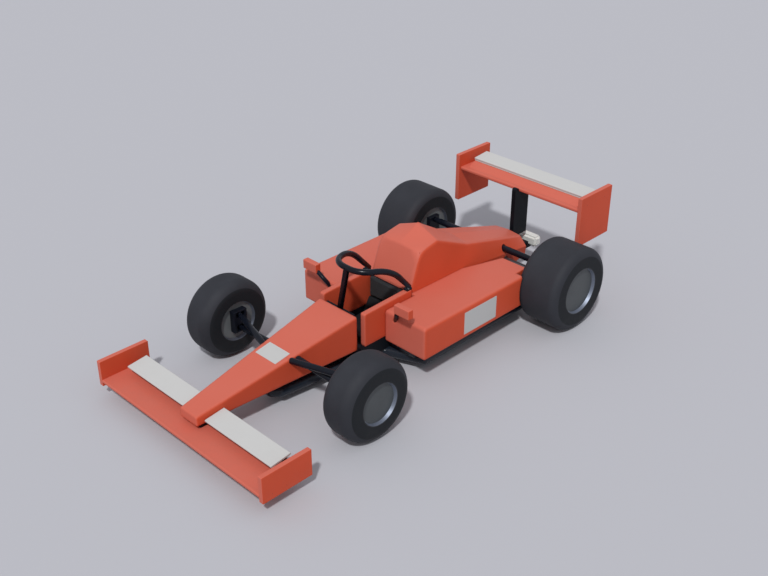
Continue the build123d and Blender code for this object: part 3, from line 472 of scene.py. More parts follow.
class Skin:
    """A material that is built up in layers. Its steps may return a mask or a height."""

    def __init__(self, name, colour, roughness):
        self.material = bpy.data.materials.new(name)
        self.material.use_nodes = True
        self.tree = self.material.node_tree
        self.tree.nodes.clear()
        self.base, self.colour, self.roughness, self.normal = colour, rgba(colour), roughness, None

    def drift(self, other, size, change):
        """Lets the colour drift to another, or to a shade of itself, and its gloss with it."""
        drift = effect(
            self.tree, "Colour Drift", base=self.colour, size=size, roughness=self.roughness,
            drift=rgba(other if isinstance(other, tuple) else shade(self.base, other)),
            roughness_drift=change,
        )
        self.colour, self.roughness = drift["Colour"], drift["Roughness"]
        return self

    def cover(self, mask, colour):
        self.colour = mix_colour(self.tree, mask, self.colour, rgba(colour))

    def tint(self, mask, share, factor):
        """Covers a share of a mask with a shade of the skin's own colour."""
        self.cover(times(self.tree, mask, share), shade(self.base, factor))

    def roughen(self, mask, share):
        change = times(self.tree, mask, share)
        self.roughness = maths(self.tree, "ADD", self.roughness, change, clamp=True)

    def soften(self, radius, strength=1.0):
        edge = effect(self.tree, "Soft Edge", radius=radius, strength=strength)
        self.normal = edge["Normal"]
        return edge["Mask"]

    def dust(self, colour, amount, top=0.32):
        mask = effect(self.tree, "Road Dust", amount=amount, top=top)["Mask"]
        self.cover(mask, colour)
        return mask

    def weave(self, pitch, share, factor):
        weave = effect(self.tree, "Twill Weave", pitch=pitch)
        self.tint(weave["Strand"], share, factor)
        return weave["Height"]

    def grain(self, scale, coarse):
        return effect(self.tree, "Fine Grain", scale=scale, coarse=coarse)["Height"]

    def wheel(self, axle, pitch):
        """Where a point lies on a wheel of an axle, with rings of a given pitch."""
        axle_y, axle_z = axle_centre(axle)
        return effect(self.tree, "Wheel Place", axle_y=axle_y, axle_z=axle_z, ring_pitch=pitch)

    def emboss(self, height, depth):
        """Bumps the surface; depth is in metres."""
        inputs = {"Height": height, "Distance": depth, "Strength": 1.0}
        if self.normal:
            inputs["Normal"] = self.normal
        self.normal = result(self.tree, "ShaderNodeBump", inputs)

    def finish(self, **sockets):
        """Joins the layers to a Principled shader, with more of its sockets."""
        inputs = {"Base Color": self.colour, "Roughness": self.roughness}
        if self.normal:
            inputs["Normal"] = self.normal
        inputs.update((key.replace("_", " "), value) for key, value in sockets.items())
        shader = result(self.tree, "ShaderNodeBsdfPrincipled", inputs)
        add_node(self.tree, "ShaderNodeOutputMaterial", {0: shader})
        return self.material


def axle_centre(axle):
    """Y and Z of an axle, in metres."""
    low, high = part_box(f"tyre_{axle}_left")
    return (low.y + high.y) / 2, (low.z + high.z) / 2


def paint_material(name, colour, paint, top=None, radius=None, edge_highlight=1.5, roughness=0.42):
    """Satin paint with painted light, paler on faces turned up and along the car and with painted
    highlights on its edges, a slight orange peel and road dust.
    """
    skin = Skin(name, colour, roughness).drift(0.93, 2.2, 0.08)
    edge = skin.soften(radius or paint.edge_radius, 0.25)
    # Painted light: faces turned up and along the car take the paler top colour, a lit copy of the
    # paint.
    film = effect(skin.tree, "Painted Top Light", normal=skin.normal)["Mask"]
    skin.cover(film, top or shade(colour, 1.03))
    # Painted highlight: edges take a lighter shade of the colour.
    skin.cover(edge, shade(colour, edge_highlight))
    skin.roughen(skin.dust((0.20, 0.18, 0.16), paint.dust * 0.5), 0.3)
    skin.emboss(skin.grain(220.0, 0.8), 0.00004)
    return skin.finish(Specular_IOR_Level=0.10, Coat_Weight=0.03, Coat_Roughness=0.25)


def lacquer_material(name, paint):
    """Smooth gloss black lacquer over a woven sheet that just shows through it."""
    skin = Skin(name, paint.black, 0.2).drift(1.4, 3.0, 0.06)
    skin.weave(0.004, 0.2, 1.8)
    skin.roughen(skin.dust((0.05, 0.048, 0.045), paint.dust * 0.3, top=0.14), 0.5)
    skin.soften(paint.body_radius)
    return skin.finish(Specular_IOR_Level=0.3, Coat_Weight=0.06, Coat_Roughness=0.12)


def composite_material(name, colour, paint):
    """Bare woven composite with a dull finish."""
    skin = Skin(name, colour, 0.5).drift(1.35, 5.0, 0.12)
    weave = skin.weave(0.003, 0.35, 1.6)
    skin.dust((0.10, 0.09, 0.08), paint.dust * 0.4, top=0.3)
    skin.emboss(weave, 0.00004)
    return skin.finish(Specular_IOR_Level=0.12)


def enamel_material(name, colour, paint, roughness, edge_highlight=3.0):
    """Enamel on metal, with painted highlights on its edges."""
    skin = Skin(name, colour, roughness).drift(1.4, 6.0, 0.12)
    # Painted highlight: edges take a lighter shade of the colour.
    skin.cover(skin.soften(paint.edge_radius * 0.6, 0.4), shade(colour, edge_highlight))
    skin.emboss(skin.grain(420.0, 0.5), 0.00003)
    return skin.finish(Specular_IOR_Level=0.22, Coat_Weight=0.04, Coat_Roughness=0.15)


def cast_material(name, paint):
    """Cast alloy with a coarse grain and a film of dust."""
    skin = Skin(name, paint.alloy, 0.5).drift(0.75, 8.0, 0.15)
    skin.dust((0.12, 0.11, 0.10), paint.dust, top=0.5)
    skin.emboss(skin.grain(520.0, 1.2), 0.0002)
    return skin.finish(Metallic=0.85)


def shaft_material(name, colour):
    """Steel turned on a lathe, with fine rings round its axle."""
    skin = Skin(name, colour, 0.3).drift(0.86, 7.0, 0.10)
    rings = skin.wheel("rear", 0.001)["Rings"]
    skin.tint(rings, 0.25, 1.3)
    # Painted highlight: edges take a much lighter shade of the steel.
    skin.cover(skin.soften(0.003, 0.5), shade(colour, 2.6))
    skin.emboss(rings, 0.00005)
    return skin.finish(Metallic=0.95)


def tyre_material(name, paint, axle):
    """Slick racing rubber: a tread, walls darkened as painted shade with fine moulded rings, and
    dust.
    """
    skin = Skin(name, paint.tread, 0.7).drift(1.15, 5.0, 0.12)
    tree, wheel, radius = skin.tree, skin.wheel(axle, 0.006), axle_centre(axle)[1]
    tread = map_range(tree, wheel["Radius"], radius * WALL_SHARE, radius * (WALL_SHARE + 0.012))
    # Painted shade: below the tread's radius the walls take the darker wall colour.
    skin.colour = mix_colour(tree, tread, rgba(paint.wall), skin.colour)
    skin.dust((0.07, 0.068, 0.066), paint.dust, top=0.25)
    rings = times(tree, wheel["Rings"], map_range(tree, wheel["Sideways"], 0.85, 0.97))
    skin.emboss(maths(tree, "ADD", rings, times(tree, skin.grain(330.0, 0.8), 0.6)), 0.00020)
    return skin.finish(Specular_IOR_Level=0.3)


def rim_material(name, paint, axle):
    """A painted face with fine turned rings, a brushed wall round it and a dark lip."""
    skin = Skin(name, paint.rim, 0.42).drift(0.88, 7.0, 0.10)
    tree, wheel = skin.tree, skin.wheel(axle, 0.0016)
    skin.tint(wheel["Rings"], 0.2, 1.25)
    # Painted light: faces towards the car take the lighter inside colour, standing in for light on
    # their shaded side.
    skin.cover(wheel["Inwards"], paint.rim_inside_lit)
    wall = map_range(tree, wheel["Sideways"], 0.85, 0.6)
    skin.cover(wall, paint.rim_wall)
    lip_radius = (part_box(f"rim_{axle}_left")[1].z - axle_centre(axle)[1]) - RIM_LIP
    lip = map_range(tree, wheel["Radius"], lip_radius, lip_radius + 0.0015)
    skin.cover(lip, paint.wall)
    bare = times(tree, wall, maths(tree, "SUBTRACT", 1.0, lip))
    skin.roughen(bare, 0.10)
    skin.emboss(wheel["Rings"], 0.00004)
    return skin.finish(Metallic=times(tree, bare, 0.9))


def mirror_material(name):
    """Silvered glass with faint smears."""
    skin = Skin(name, (0.72, 0.74, 0.76), 0.05).drift((0.66, 0.68, 0.70), 30.0, 0.06)
    return skin.finish(Metallic=1.0)


def cloth_material(name, colour):
    """Close woven cloth over foam, with soft nap."""
    skin = Skin(name, colour, 0.88).drift(1.25, 18.0, 0.08)
    weave = skin.weave(0.0016, 0.4, 1.6)
    grain = times(skin.tree, skin.grain(900.0, 0.6), 0.5)
    skin.emboss(maths(skin.tree, "ADD", weave, grain), 0.0003)
    return skin.finish(Sheen_Weight=0.08, Sheen_Roughness=0.5)


def seen(tree):
    """1 where a ray comes from the camera or through a reflection or glass."""
    path = add_node(tree, "ShaderNodeLightPath").outputs
    mirrored = maths(tree, "MAXIMUM", path["Is Glossy Ray"], path["Is Transmission Ray"])
    return maths(tree, "MAXIMUM", path["Is Camera Ray"], mirrored)


def floor_material(name, stage):
    """A plain dull floor that sends a little less light up than it shows."""
    skin = Skin(name, stage.floor_shade, 0.9)
    skin.cover(seen(skin.tree), stage.floor)
    return skin.finish(Specular_IOR_Level=0.1)


def dress(names, material):
    """Gives packed nodes their finish."""
    for name in names:
        node = NODES[name]
        if not node.material_slots:
            node.data.materials.append(material)
        for place in node.material_slots:
            place.material = material


def finish_of(node):
    return NODES[node].material_slots[0].material


# ---- mesh helpers


def new_object(name, data):
    made = bpy.data.objects.new(name, data)
    bpy.context.scene.collection.objects.link(made)
    return made


def mesh_object(name, mesh, material, smooth=True):
    """A shown object at the origin, with its place in its mesh."""
    mesh.materials.clear()
    mesh.materials.append(material)
    mesh.polygons.foreach_set("use_smooth", [smooth] * len(mesh.polygons))
    return new_object(name, mesh)


def on_chassis(piece, replaces=None):
    """Fixes a piece to the chassis and hides the packed node that it stands for, if any."""
    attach(piece, "chassis")
    if replaces:
        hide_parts(replaces)


def bmesh_to_mesh(shape, name):
    bmesh.ops.recalc_face_normals(shape, faces=shape.faces)
    mesh = bpy.data.meshes.new(name)
    shape.to_mesh(mesh)
    shape.free()
    return mesh


def evaluated_mesh(piece):
    """A plain mesh of what a piece's modifiers or curve give."""
    graph = bpy.context.evaluated_depsgraph_get()
    return bpy.data.meshes.new_from_object(piece.evaluated_get(graph))


def baked_mesh(guide):
    """A plain mesh of what a guide gives. The guide is removed."""
    bpy.context.view_layer.update()
    mesh = evaluated_mesh(guide)
    guide.modifiers.clear()
    bpy.data.objects.remove(guide)
    return mesh


def surface_of(piece):
    """A piece's surface, to find points on it."""
    points = [vertex.co.copy() for vertex in piece.data.vertices]
    return BVHTree.FromPolygons(points, [tuple(face.vertices) for face in piece.data.polygons])


def plate_mesh(name, grid, thickness, bevel):
    """A thin plate that follows a grid of points and normals, with a bevelled rim."""
    shape = bmesh.new()
    tops, feet = (
        [[shape.verts.new(point + normal * rise) for point, normal in row] for row in grid]
        for rise in (thickness, -thickness)
    )
    rows, columns = len(grid), len(grid[0])
    for i in range(rows - 1):
        for j in range(columns - 1):
            shape.faces.new((tops[i][j], tops[i][j + 1], tops[i + 1][j + 1], tops[i + 1][j]))
            shape.faces.new((feet[i][j], feet[i + 1][j], feet[i + 1][j + 1], feet[i][j + 1]))
    rim = [(0, j) for j in range(columns)] + [(i, columns - 1) for i in range(1, rows)]
    rim += [(rows - 1, j) for j in range(columns - 2, -1, -1)]
    rim += [(i, 0) for i in range(rows - 2, 0, -1)]
    rim_edges = []
    for (i, j), (k, m) in zip(rim, rim[1:] + rim[:1]):
        shape.faces.new((tops[i][j], tops[k][m], feet[k][m], feet[i][j]))
        rim_edges.append(shape.edges.get((tops[i][j], tops[k][m])))
    bmesh.ops.bevel(shape, geom=rim_edges, offset=bevel, segments=2, affect="EDGES")
    return bmesh_to_mesh(shape, name)


def add_plate(name, node, origins, direction, plates, material):
    """A plate on a packed node, where rays from its origins meet it."""
    surface = surface_of(NODES[node])
    grid = [[hit(surface, origin, direction) for origin in row] for row in origins]
    mesh = plate_mesh(name, grid, plates.thickness, plates.bevel)
    on_chassis(mesh_object(name, mesh, material, smooth=False))


def hit(surface, origin, direction):
    """Where a ray meets a surface, and the surface's normal there."""
    point, normal, _, _ = surface.ray_cast(origin, direction)
    if point is None:
        raise RuntimeError("a ray misses the surface that carries a piece")
    return point, normal if normal.dot(direction) < 0 else -normal


def sleeved_mesh(node, name, growth, cuts):
    """A copy of a packed node, cut at some X, that stands off by what growth says at each point."""
    shape = bmesh.new()
    shape.from_mesh(NODES[node].data)
    bmesh.ops.remove_doubles(shape, verts=shape.verts, dist=0.00001)
    for x in cuts:
        parts = list(shape.verts) + list(shape.edges) + list(shape.faces)
        bmesh.ops.bisect_plane(
            shape, geom=parts, dist=0.00001, plane_co=(x, 0, 0), plane_no=(1, 0, 0)
        )
    bmesh.ops.recalc_face_normals(shape, faces=shape.faces)
    shape.normal_update()
    moves = [vertex.normal * growth(vertex.co) for vertex in shape.verts]
    for vertex, move in zip(shape.verts, moves):
        vertex.co += move
    return bmesh_to_mesh(shape, name)


def bar_mesh(name, outline, half_width, bevel):
    """A bar across the car with a given outline in Y and Z, and bevelled edges."""
    shape = bmesh.new()
    ends = [[shape.verts.new((x, y, z)) for y, z in outline] for x in (-half_width, half_width)]
    shape.faces.new(ends[0])
    shape.faces.new(ends[1])
    for i in range(len(outline)):
        j = (i + 1) % len(outline)
        shape.faces.new((ends[0][i], ends[0][j], ends[1][j], ends[1][i]))
    bmesh.ops.bevel(shape, geom=list(shape.edges), offset=bevel, segments=3, affect="EDGES")
    return bmesh_to_mesh(shape, name)


def rectangle(front, back, foot, top):
    """The outline of a bar with a rectangular section."""
    return (front, foot), (back, foot), (back, top), (front, top)


def spread(low, high, count):
    return [low + (high - low) * i / (count - 1) for i in range(count)]


def clamped(value, low=0.0, high=1.0):
    return max(low, min(high, value))


# ---- fasteners by Geometry Nodes


def fastener_tree():
    """Geometry Nodes: screw heads along the edges of a path, seated on a surface."""
    tree = bpy.data.node_groups.new("Fasteners Along Path", "GeometryNodeTree")
    for name, kind in (
        ("Geometry", "Geometry"), ("Surface", "Object"), ("Spacing", "Float"),
        ("Head Radius", "Float"), ("Head Height", "Float"), ("Material", "Material"),
    ):
        tree.interface.new_socket(name=name, in_out="INPUT", socket_type=f"NodeSocket{kind}")
    tree.interface.new_socket(name="Geometry", in_out="OUTPUT", socket_type="NodeSocketGeometry")
    given = tree.nodes.new("NodeGroupInput").outputs
    path = result(tree, "GeometryNodeMeshToCurve", {0: given["Geometry"]})
    steps = {0: path, "Length": given["Spacing"]}
    points = result(tree, "GeometryNodeCurveToPoints", steps, mode="LENGTH")
    surface = add_node(
        tree, "GeometryNodeObjectInfo", {0: given["Surface"]}, transform_space="RELATIVE"
    ).outputs["Geometry"]
    near = add_node(tree, "GeometryNodeProximity", {0: surface}, target_element="FACES").outputs
    seated = result(tree, "GeometryNodeSetPosition", {0: points, "Position": near["Position"]})
    upwards = result(
        tree, "GeometryNodeSampleNearestSurface",
        {0: surface, "Value": result(tree, "GeometryNodeInputNormal")}, data_type="FLOAT_VECTOR",
    )
    turn = result(tree, "FunctionNodeAlignRotationToVector", {"Vector": upwards}, axis="Z")
    radius, height = given["Head Radius"], given["Head Height"]
    head = add_node(
        tree, "GeometryNodeMeshCone",
        {
            "Vertices": 14, "Radius Bottom": radius, "Radius Top": times(tree, radius, 0.86),
            "Depth": times(tree, height, 2.0),
        },
    ).outputs["Mesh"]
    sunk = result(tree, "ShaderNodeCombineXYZ", {"Z": times(tree, height, -1.0)})
    lowered = result(tree, "GeometryNodeTransform", {0: head, "Translation": sunk})
    heads = {0: seated, "Instance": lowered, "Rotation": turn}
    placed = result(tree, "GeometryNodeInstanceOnPoints", heads)
    real = result(tree, "GeometryNodeRealizeInstances", {0: placed})
    finished = result(tree, "GeometryNodeSetMaterial", {0: real, "Material": given["Material"]})
    add_node(tree, "NodeGroupOutput", {0: finished})
    return tree


def fasteners_on(node, ends, tree, settings, material):
    """Screw heads along a straight line near a packed node's surface, as one plain mesh."""
    path = bpy.data.meshes.new(f"fastener_path_{node}")
    path.from_pydata(ends, [(0, 1)], [])
    guide = new_object(f"fastener_guide_{node}", path)
    modifier = guide.modifiers.new("Fasteners", "NODES")
    modifier.node_group = tree
    values = {
        "Surface": NODES[node], "Spacing": settings.spacing, "Head Radius": settings.radius,
        "Head Height": settings.height, "Material": material,
    }
    items = [item for item in tree.interface.items_tree if item.in_out == "INPUT"]
    sockets = {item.name: item.identifier for item in items}
    for name, value in values.items():
        modifier[sockets[name]] = value
    mesh = baked_mesh(guide)
    mesh.name = f"fasteners_{node}"
    return mesh_object(f"fasteners_{node}", mesh, material, smooth=False)


# ---- headrest


def pad_block(low, high, settings):
    """A block a little smaller than the pad's space, with rounded edges."""
    inset = Vector((settings.shrink,) * 3)
    start, end = low + inset, high - inset
    shape = bmesh.new()
    bmesh.ops.create_cube(shape, size=1.0)
    for vertex in shape.verts:
        vertex.co = Vector(start[i] + (vertex.co[i] + 0.5) * (end[i] - start[i]) for i in range(3))
    edges = list(shape.edges)
    bmesh.ops.bevel(shape, geom=edges, offset=settings.corner, segments=3, affect="EDGES")
    return bmesh_to_mesh(shape, "headrest_pad")


def fill_pad(scene, pad, settings):
    """Remeshes the pad and swells it under air pressure, held within a small distance."""
    mesher = pad.modifiers.new("Remesh", "REMESH")
    mesher.mode = "VOXEL"
    mesher.voxel_size = settings.voxel
    settle(pad)
    rest = [vertex.co.copy() for vertex in pad.data.vertices]
    cloth = pad.modifiers.new("Cloth", "CLOTH")
    cloth.settings.quality = 5
    cloth.settings.use_pressure = True
    cloth.settings.uniform_pressure_force = 4.0
    cloth.settings.tension_stiffness = 15.0
    cloth.settings.effector_weights.gravity = 0.0
    cloth.collision_settings.use_collision = False
    cloth.point_cache.frame_start, cloth.point_cache.frame_end = 1, FILL_FRAMES
    for step in range(1, FILL_FRAMES + 1):
        scene.frame_set(step)
    settle(pad)
    scene.frame_set(1)
    for vertex, start in zip(pad.data.vertices, rest):
        move = vertex.co - start
        if move.length > settings.swell:
            vertex.co = start + move.normalized() * settings.swell


def settle(pad):
    """Applies the pad's modifiers to its mesh."""
    mesh = evaluated_mesh(pad)
    pad.modifiers.clear()
    pad.data = mesh


def sew_pad(pad, low, high, settings):
    """Presses sewn channels into the front of the pad and keeps it in its space."""
    for vertex in pad.data.vertices:
        frontness = clamped((high.y - vertex.co.y) / (high.y - low.y) * 2 - 1)
        for share in CHANNELS:
            channel_z = low.z + (high.z - low.z) * share
            gap = (vertex.co.z - channel_z) / CHANNEL_HALF
            vertex.co.y += settings.channel_depth * frontness * math.exp(-gap * gap)
        vertex.co = Vector(
            clamped(vertex.co[i], low[i] + PAD_MARGIN, high[i] - PAD_MARGIN) for i in range(3)
        )


def piping_route(low, high, settings):
    """Points in X and Z of a rounded rectangle a little inside the pad's front face."""
    radius = settings.corner
    inset = settings.piping_inset + radius
    left, right, foot, top = low.x + inset, high.x - inset, low.z + inset, high.z - inset
    corners = []
    for quarter, (x, z) in enumerate(((right, top), (left, top), (left, foot), (right, foot))):
        for turn in spread(quarter * math.pi / 2, (quarter + 1) * math.pi / 2, 6):
            corners.append((x + radius * math.cos(turn), z + radius * math.sin(turn)))
    points = []
    for (ax, az), (bx, bz) in zip(corners, corners[1:] + corners[:1]):
        count = max(2, round(math.hypot(bx - ax, bz - az) / PIPING_STEP) + 1)
        for share in spread(0.0, 1.0, count)[:-1]:
            points.append((ax + (bx - ax) * share, az + (bz - az) * share))
    return points


def pipe_pad(pad, low, high, settings, material):
    """A round piping along the rim of the pad's front face."""
    surface = surface_of(pad)
    start = low.y - RAY_AHEAD
    route = [
        hit(surface, Vector((x, start, z)), Vector((0, 1, 0)))[0]
        for x, z in piping_route(low, high, settings)
    ]
    curve = bpy.data.curves.new("headrest_piping", "CURVE")
    curve.dimensions = "3D"
    curve.bevel_depth = settings.piping
    curve.bevel_resolution = 3
    line = curve.splines.new("POLY")
    line.points.add(len(route) - 1)
    for point, place in zip(line.points, route):
        point.co = (*place, 1.0)
    line.use_cyclic_u = True
    mesh = baked_mesh(new_object("headrest_piping_guide", curve))
    on_chassis(mesh_object("headrest_piping", mesh, material))


# ---- studio


def add_floor(stage):
    mesh = bpy.data.meshes.new("studio_floor")
    corners = [(x * FLOOR_HALF, y * FLOOR_HALF, 0) for x, y in ((-1, -1), (1, -1), (1, 1), (-1, 1))]
    mesh.from_pydata(corners, [], [(0, 1, 2, 3)])
    mesh_object("studio_floor", mesh, floor_material("Studio Floor", stage), smooth=False)


def add_light(scene, stage):
    lamp = bpy.data.lights.new("key_light", "SUN")
    lamp.energy = stage.key_strength
    lamp.angle = stage.key_softness
    aim(new_object("key_light", lamp), stage.key_direction)
    scene.world = bpy.data.worlds.new("studio_world")
    scene.world.use_nodes = True
    tree = scene.world.node_tree
    tree.nodes.clear()
    fill = stage.fill_strength
    shown = mix_colour(tree, seen(tree), (fill, fill, fill * 1.06, 1), rgba(stage.backdrop))
    sky = result(tree, "ShaderNodeBackground", {"Color": shown, "Strength": 1.0})
    add_node(tree, "ShaderNodeOutputWorld", {0: sky})


def add_camera(scene, stage):
    lens = bpy.data.cameras.new("camera")
    lens.sensor_width = 36.0
    lens.lens = stage.lens
    lens.clip_end = 200.0
    scene.camera = new_object("camera", lens)
    scene.camera.location = stage.camera_place
    turn, tip = stage.camera_azimuth, stage.camera_elevation
    back = (math.sin(turn) * math.cos(tip), -math.cos(turn) * math.cos(tip), math.sin(tip))
    aim(scene.camera, back)


def aim(piece, back):
    """Turns a lamp or a camera with its back to a direction."""
    piece.rotation_mode = "QUATERNION"
    piece.rotation_quaternion = Vector(back).to_track_quat("Z", "Y")


# ---- operators


class RACECAR_OT_bodywork(bpy.types.Operator):
    """Paint the red bodywork and the white flaps"""

    bl_idname = "racecar.bodywork"
    bl_label = "Bodywork Paint"

    def execute(self, context):
        paint = context.scene.racecar_paint
        for name, nodes, radius in (
            ("Red Body Paint", BODY_NODES, paint.body_radius),
            ("Red Wing Paint", SHARP_NODES, paint.edge_radius),
        ):
            # Painted light: the red paint takes its paler lit-top colour on faces turned up and
            # along the car.
            dress(nodes, paint_material(name, paint.red, paint, top=paint.red_lit_top, radius=radius))
        white = paint_material("White Paint", paint.white, paint, edge_highlight=1.15)
        dress(("front_flaps", "rear_flap"), white)
        return {"FINISHED"}


class RACECAR_OT_black_parts(bpy.types.Operator):
    """Finish the floor, the cockpit, the halo, the arms and the uprights"""

    bl_idname = "racecar.black_parts"
    bl_label = "Black Parts"

    def execute(self, context):
        paint = context.scene.racecar_paint
        dress(("floor",), lacquer_material("Floor Lacquer", paint))
        dress(COMPOSITE_NODES, composite_material("Bare Composite", paint.composite, paint))
        dress(("seat",), composite_material("Bucket Composite", paint.bucket, paint))
        dress(TUBE_NODES, enamel_material("Tube Enamel", paint.tube, paint, 0.26))
        dress(four_of("upright"), enamel_material("Upright Enamel", paint.tube, paint, 0.40))
        return {"FINISHED"}


class RACECAR_OT_running_gear(bpy.types.Operator):
    """Finish the engine, the gearbox, the drive shafts, the mirrors' glass and the tail block"""

    bl_idname = "racecar.running_gear"
    bl_label = "Running Gear"

    def execute(self, context):
        paint = context.scene.racecar_paint
        dress(("engine", "gearbox"), cast_material("Cast Alloy", paint))
        dress(("driveshaft_left", "driveshaft_right"), shaft_material("Turned Steel", paint.steel))
        dress(("mirror_glasses",), mirror_material("Silvered Glass"))
        block = paint_material("Pale Block", paint.block, paint, edge_highlight=1.2, roughness=0.5)
        dress(("tail_block",), block)
        return {"FINISHED"}


class RACECAR_OT_wheels(bpy.types.Operator):
    """Finish the tyres and the rims"""

    bl_idname = "racecar.wheels"
    bl_label = "Wheels"

    def execute(self, context):
        paint = context.scene.racecar_paint
        for axle in AXLES:
            rubber = tyre_material(f"Slick Rubber {axle.title()}", paint, axle)
            metal = rim_material(f"Rim Metal {axle.title()}", paint, axle)
            for part, material in (("tyre", rubber), ("rim", metal)):
                dress([f"{part}_{axle}_{side}" for side, _ in SIDES], material)
        return {"FINISHED"}


class RACECAR_OT_sleeves(bpy.types.Operator):
    """Show the halo, the mirrors' stays and the arms with their sleeves"""

    bl_idname = "racecar.sleeves"
    bl_label = "Tube Sleeves"

    def execute(self, context):
        settings = context.scene.racecar_sleeves
        root, start, end = settings.arm_root, settings.arm_start, settings.arm_end
        for node, slot in TUBE_NODES.items():
            arms = node.endswith("arms")
            thickness = getattr(settings, node)

            def growth(place):
                if arms:
                    outer = (end - abs(place.x)) / (end - start)
                    share = min(outer, (abs(place.x) - root) / SLEEVE_FADE)
                elif node == "halo" and abs(place.x) > HALO_FEET:
                    share = (place.z - settings.foot) / SLEEVE_FADE
                else:
                    share = 1.0
                return thickness * clamped(share)

            ends = (root, root + SLEEVE_FADE, start, end)
            cuts = [side * x for x in ends for _, side in SIDES] if arms else []
            name = f"{node}_sleeved"
            piece = mesh_object(name, sleeved_mesh(node, name, growth, cuts), finish_of(node))
            piece.data.set_sharp_from_angle(angle=SLEEVE_CREASE)
            on_chassis(piece, replaces=node)
        return {"FINISHED"}


class RACECAR_OT_trim(bpy.types.Operator):
    """Add the rear flap's lip and wedge, and shape the tail block"""

    bl_idname = "racecar.trim"
    bl_label = "Wing And Tail Trim"

    def execute(self, context):
        trim = context.scene.racecar_trim
        low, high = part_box("rear_flap")
        half, front, foot = high.x - trim.side_gap, low.y, low.z - trim.lip
        plane = surface_of(NODES["rear_wing_plane"])
        sunk = hit(plane, Vector((0, front, high.z + RAY_ABOVE)), DOWN)[0].z - WEDGE_SUNK
        lip = rectangle(front, front + LIP_DEPTH, foot, low.z + LIP_RISE)
        top = foot + WEDGE_RISE
        wedge = (
            (front - trim.wedge, sunk), (front + WEDGE_REACH, sunk), (front + WEDGE_REACH, top),
            (front + WEDGE_TOP_REACH, top),
        )
        tail = "tail_block"
        low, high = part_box(tail)
        block = rectangle(low.y - trim.block_ahead, high.y, high.z - trim.block_height, high.z)
        for name, outline, reach, bevel, like, slot, replaces in (
            ("flap_lip", lip, half, LIP_BEVEL, "rear_flap", "white_paint", None),
            ("flap_wedge", wedge, half, WEDGE_BEVEL, "rear_wing_plane", "red_paint", None),
            ("shown_tail_block", block, high.x, trim.block_bevel, tail, "pale_block", tail),
        ):
            mesh = bar_mesh(name, outline, reach, bevel)
            on_chassis(mesh_object(name, mesh, finish_of(like), smooth=False), replaces)
        return {"FINISHED"}


class RACECAR_OT_plates(bpy.types.Operator):
    """Add the bare white plates on the nose and the sidepods"""

    bl_idname = "racecar.plates"
    bl_label = "Bare Plates"

    def execute(self, context):
        plates = context.scene.racecar_panels
        paint = context.scene.racecar_paint
        vinyl = paint_material(
            "Plate White", shade(paint.white, 0.93), paint, radius=plates.bevel, edge_highlight=1.0,
            roughness=0.5,
        )
        tip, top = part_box("nose")
        front = tip.y + plates.nose_front
        xs = spread(-plates.nose_half_width, plates.nose_half_width, 9)
        ys = spread(front, front + plates.nose_length, 7)
        origins = [[Vector((x, y, top.z + RAY_ABOVE)) for x in xs] for y in ys]
        add_plate("nose_plate", "nose", origins, DOWN, plates, vinyl)
        for side, sx in SIDES:
            low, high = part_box(f"sidepod_{side}")
            front, edge = low.y + plates.side_front, high.z - plates.side_below_top
            ys = spread(front, front + plates.side_length, 9)
            zs = spread(edge - plates.side_height, edge, 9)
            origins = [[Vector((sx * RAY_SIDE, y, z)) for y in ys] for z in zs]
            inwards = Vector((-sx, 0, 0))
            add_plate(f"side_plate_{side}", f"sidepod_{side}", origins, inwards, plates, vinyl)
        return {"FINISHED"}


class RACECAR_OT_headrest(bpy.types.Operator):
    """Add the padded headrest, filled by cloth simulation, with its sewn channels and piping"""

    bl_idname = "racecar.headrest"
    bl_label = "Padded Headrest"

    def execute(self, context):
        settings = context.scene.racecar_headrest
        low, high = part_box("headrest")
        cloth = cloth_material("Headrest Cloth", context.scene.racecar_paint.cloth)
        pad = mesh_object("headrest_pad", pad_block(low, high, settings), cloth)
        fill_pad(context.scene, pad, settings)
        sew_pad(pad, low, high, settings)
        smoother = pad.modifiers.new("Subdivision", "SUBSURF")
        smoother.levels = smoother.render_levels = 1
        settle(pad)
        pad.data.polygons.foreach_set("use_smooth", [True] * len(pad.data.polygons))
        on_chassis(pad, replaces="headrest")
        pipe_pad(pad, low, high, settings, cloth)
        return {"FINISHED"}


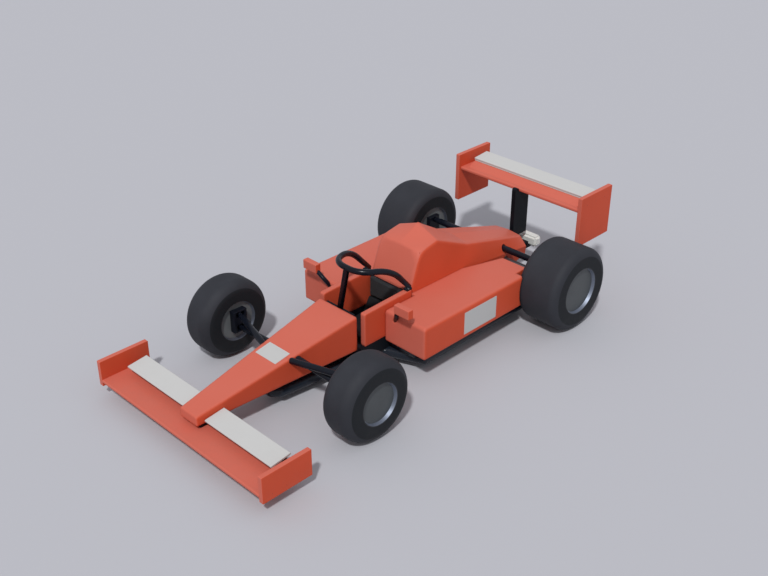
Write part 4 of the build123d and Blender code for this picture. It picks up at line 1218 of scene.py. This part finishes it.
class RACECAR_OT_fasteners(bpy.types.Operator):
    """Add the flush screws of the sidepods and the end plates"""

    bl_idname = "racecar.fasteners"
    bl_label = "Flush Screws"

    def execute(self, context):
        settings = context.scene.racecar_fasteners
        paint = context.scene.racecar_paint
        tree = fastener_tree()
        enamel = enamel_material("Screw Enamel", shade(paint.red, 0.7), paint, 0.35, edge_highlight=1.4)
        for side, sx in SIDES:
            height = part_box(f"sidepod_{side}")[0].z + POD_SCREW_HEIGHT
            lines = {f"sidepod_{side}": (POD_SCREW_ENDS, height)}
            for axle in AXLES:
                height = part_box(f"{axle}_wing_plane")[1].z - PLATE_SCREW_DROP
                lines[f"{axle}_endplate_{side}"] = (PLATE_SCREW_ENDS, height)
            for node, ((front, rear), height) in lines.items():
                low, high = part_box(node)
                outer = sx * max(abs(low.x), abs(high.x))
                ends = [Vector((outer, y, height)) for y in (low.y + front, high.y - rear)]
                on_chassis(fasteners_on(node, ends, tree, settings, enamel))
        return {"FINISHED"}


class RACECAR_OT_stage(bpy.types.Operator):
    """Set up the pale floor, the soft light and the camera"""

    bl_idname = "racecar.stage"
    bl_label = "Studio"

    def execute(self, context):
        stage = context.scene.racecar_stage
        add_floor(stage)
        add_light(context.scene, stage)
        add_camera(context.scene, stage)
        context.scene.view_settings.view_transform = "Standard"
        return {"FINISHED"}


# In the order in which they run
OPERATORS = (
    RACECAR_OT_bodywork, RACECAR_OT_black_parts, RACECAR_OT_running_gear, RACECAR_OT_wheels,
    RACECAR_OT_sleeves, RACECAR_OT_trim, RACECAR_OT_plates, RACECAR_OT_headrest,
    RACECAR_OT_fasteners, RACECAR_OT_stage,
)


class RACECAR_PT_sidebar(bpy.types.Panel):
    """Lists the car's settings and the steps that finish it"""

    bl_idname = "RACECAR_PT_sidebar"
    bl_label = "Racing Car"
    bl_space_type = "VIEW_3D"
    bl_region_type = "UI"
    bl_category = "Racing Car"

    def draw(self, context):
        for operator in OPERATORS:
            self.layout.operator(operator.bl_idname)
        for name, group in SETTINGS.items():
            box = self.layout.box()
            box.label(text=group.__doc__)
            for setting in group.__annotations__:
                box.prop(getattr(context.scene, name), setting)


CLASSES = (*SETTINGS.values(), *OPERATORS, RACECAR_PT_sidebar)


def register():
    for kind in CLASSES:
        bpy.utils.register_class(kind)
    for name, group in SETTINGS.items():
        setattr(bpy.types.Scene, name, bpy.props.PointerProperty(type=group))


def unregister():
    for name in SETTINGS:
        delattr(bpy.types.Scene, name)
    for kind in reversed(CLASSES):
        bpy.utils.unregister_class(kind)


def main():
    register()
    bpy.ops.racecar.bodywork()
    bpy.ops.racecar.black_parts()
    bpy.ops.racecar.running_gear()
    bpy.ops.racecar.wheels()
    bpy.ops.racecar.sleeves()
    bpy.ops.racecar.trim()
    bpy.ops.racecar.plates()
    bpy.ops.racecar.headrest()
    bpy.ops.racecar.fasteners()
    bpy.ops.racecar.stage()


if __name__ == "__main__":
    main()
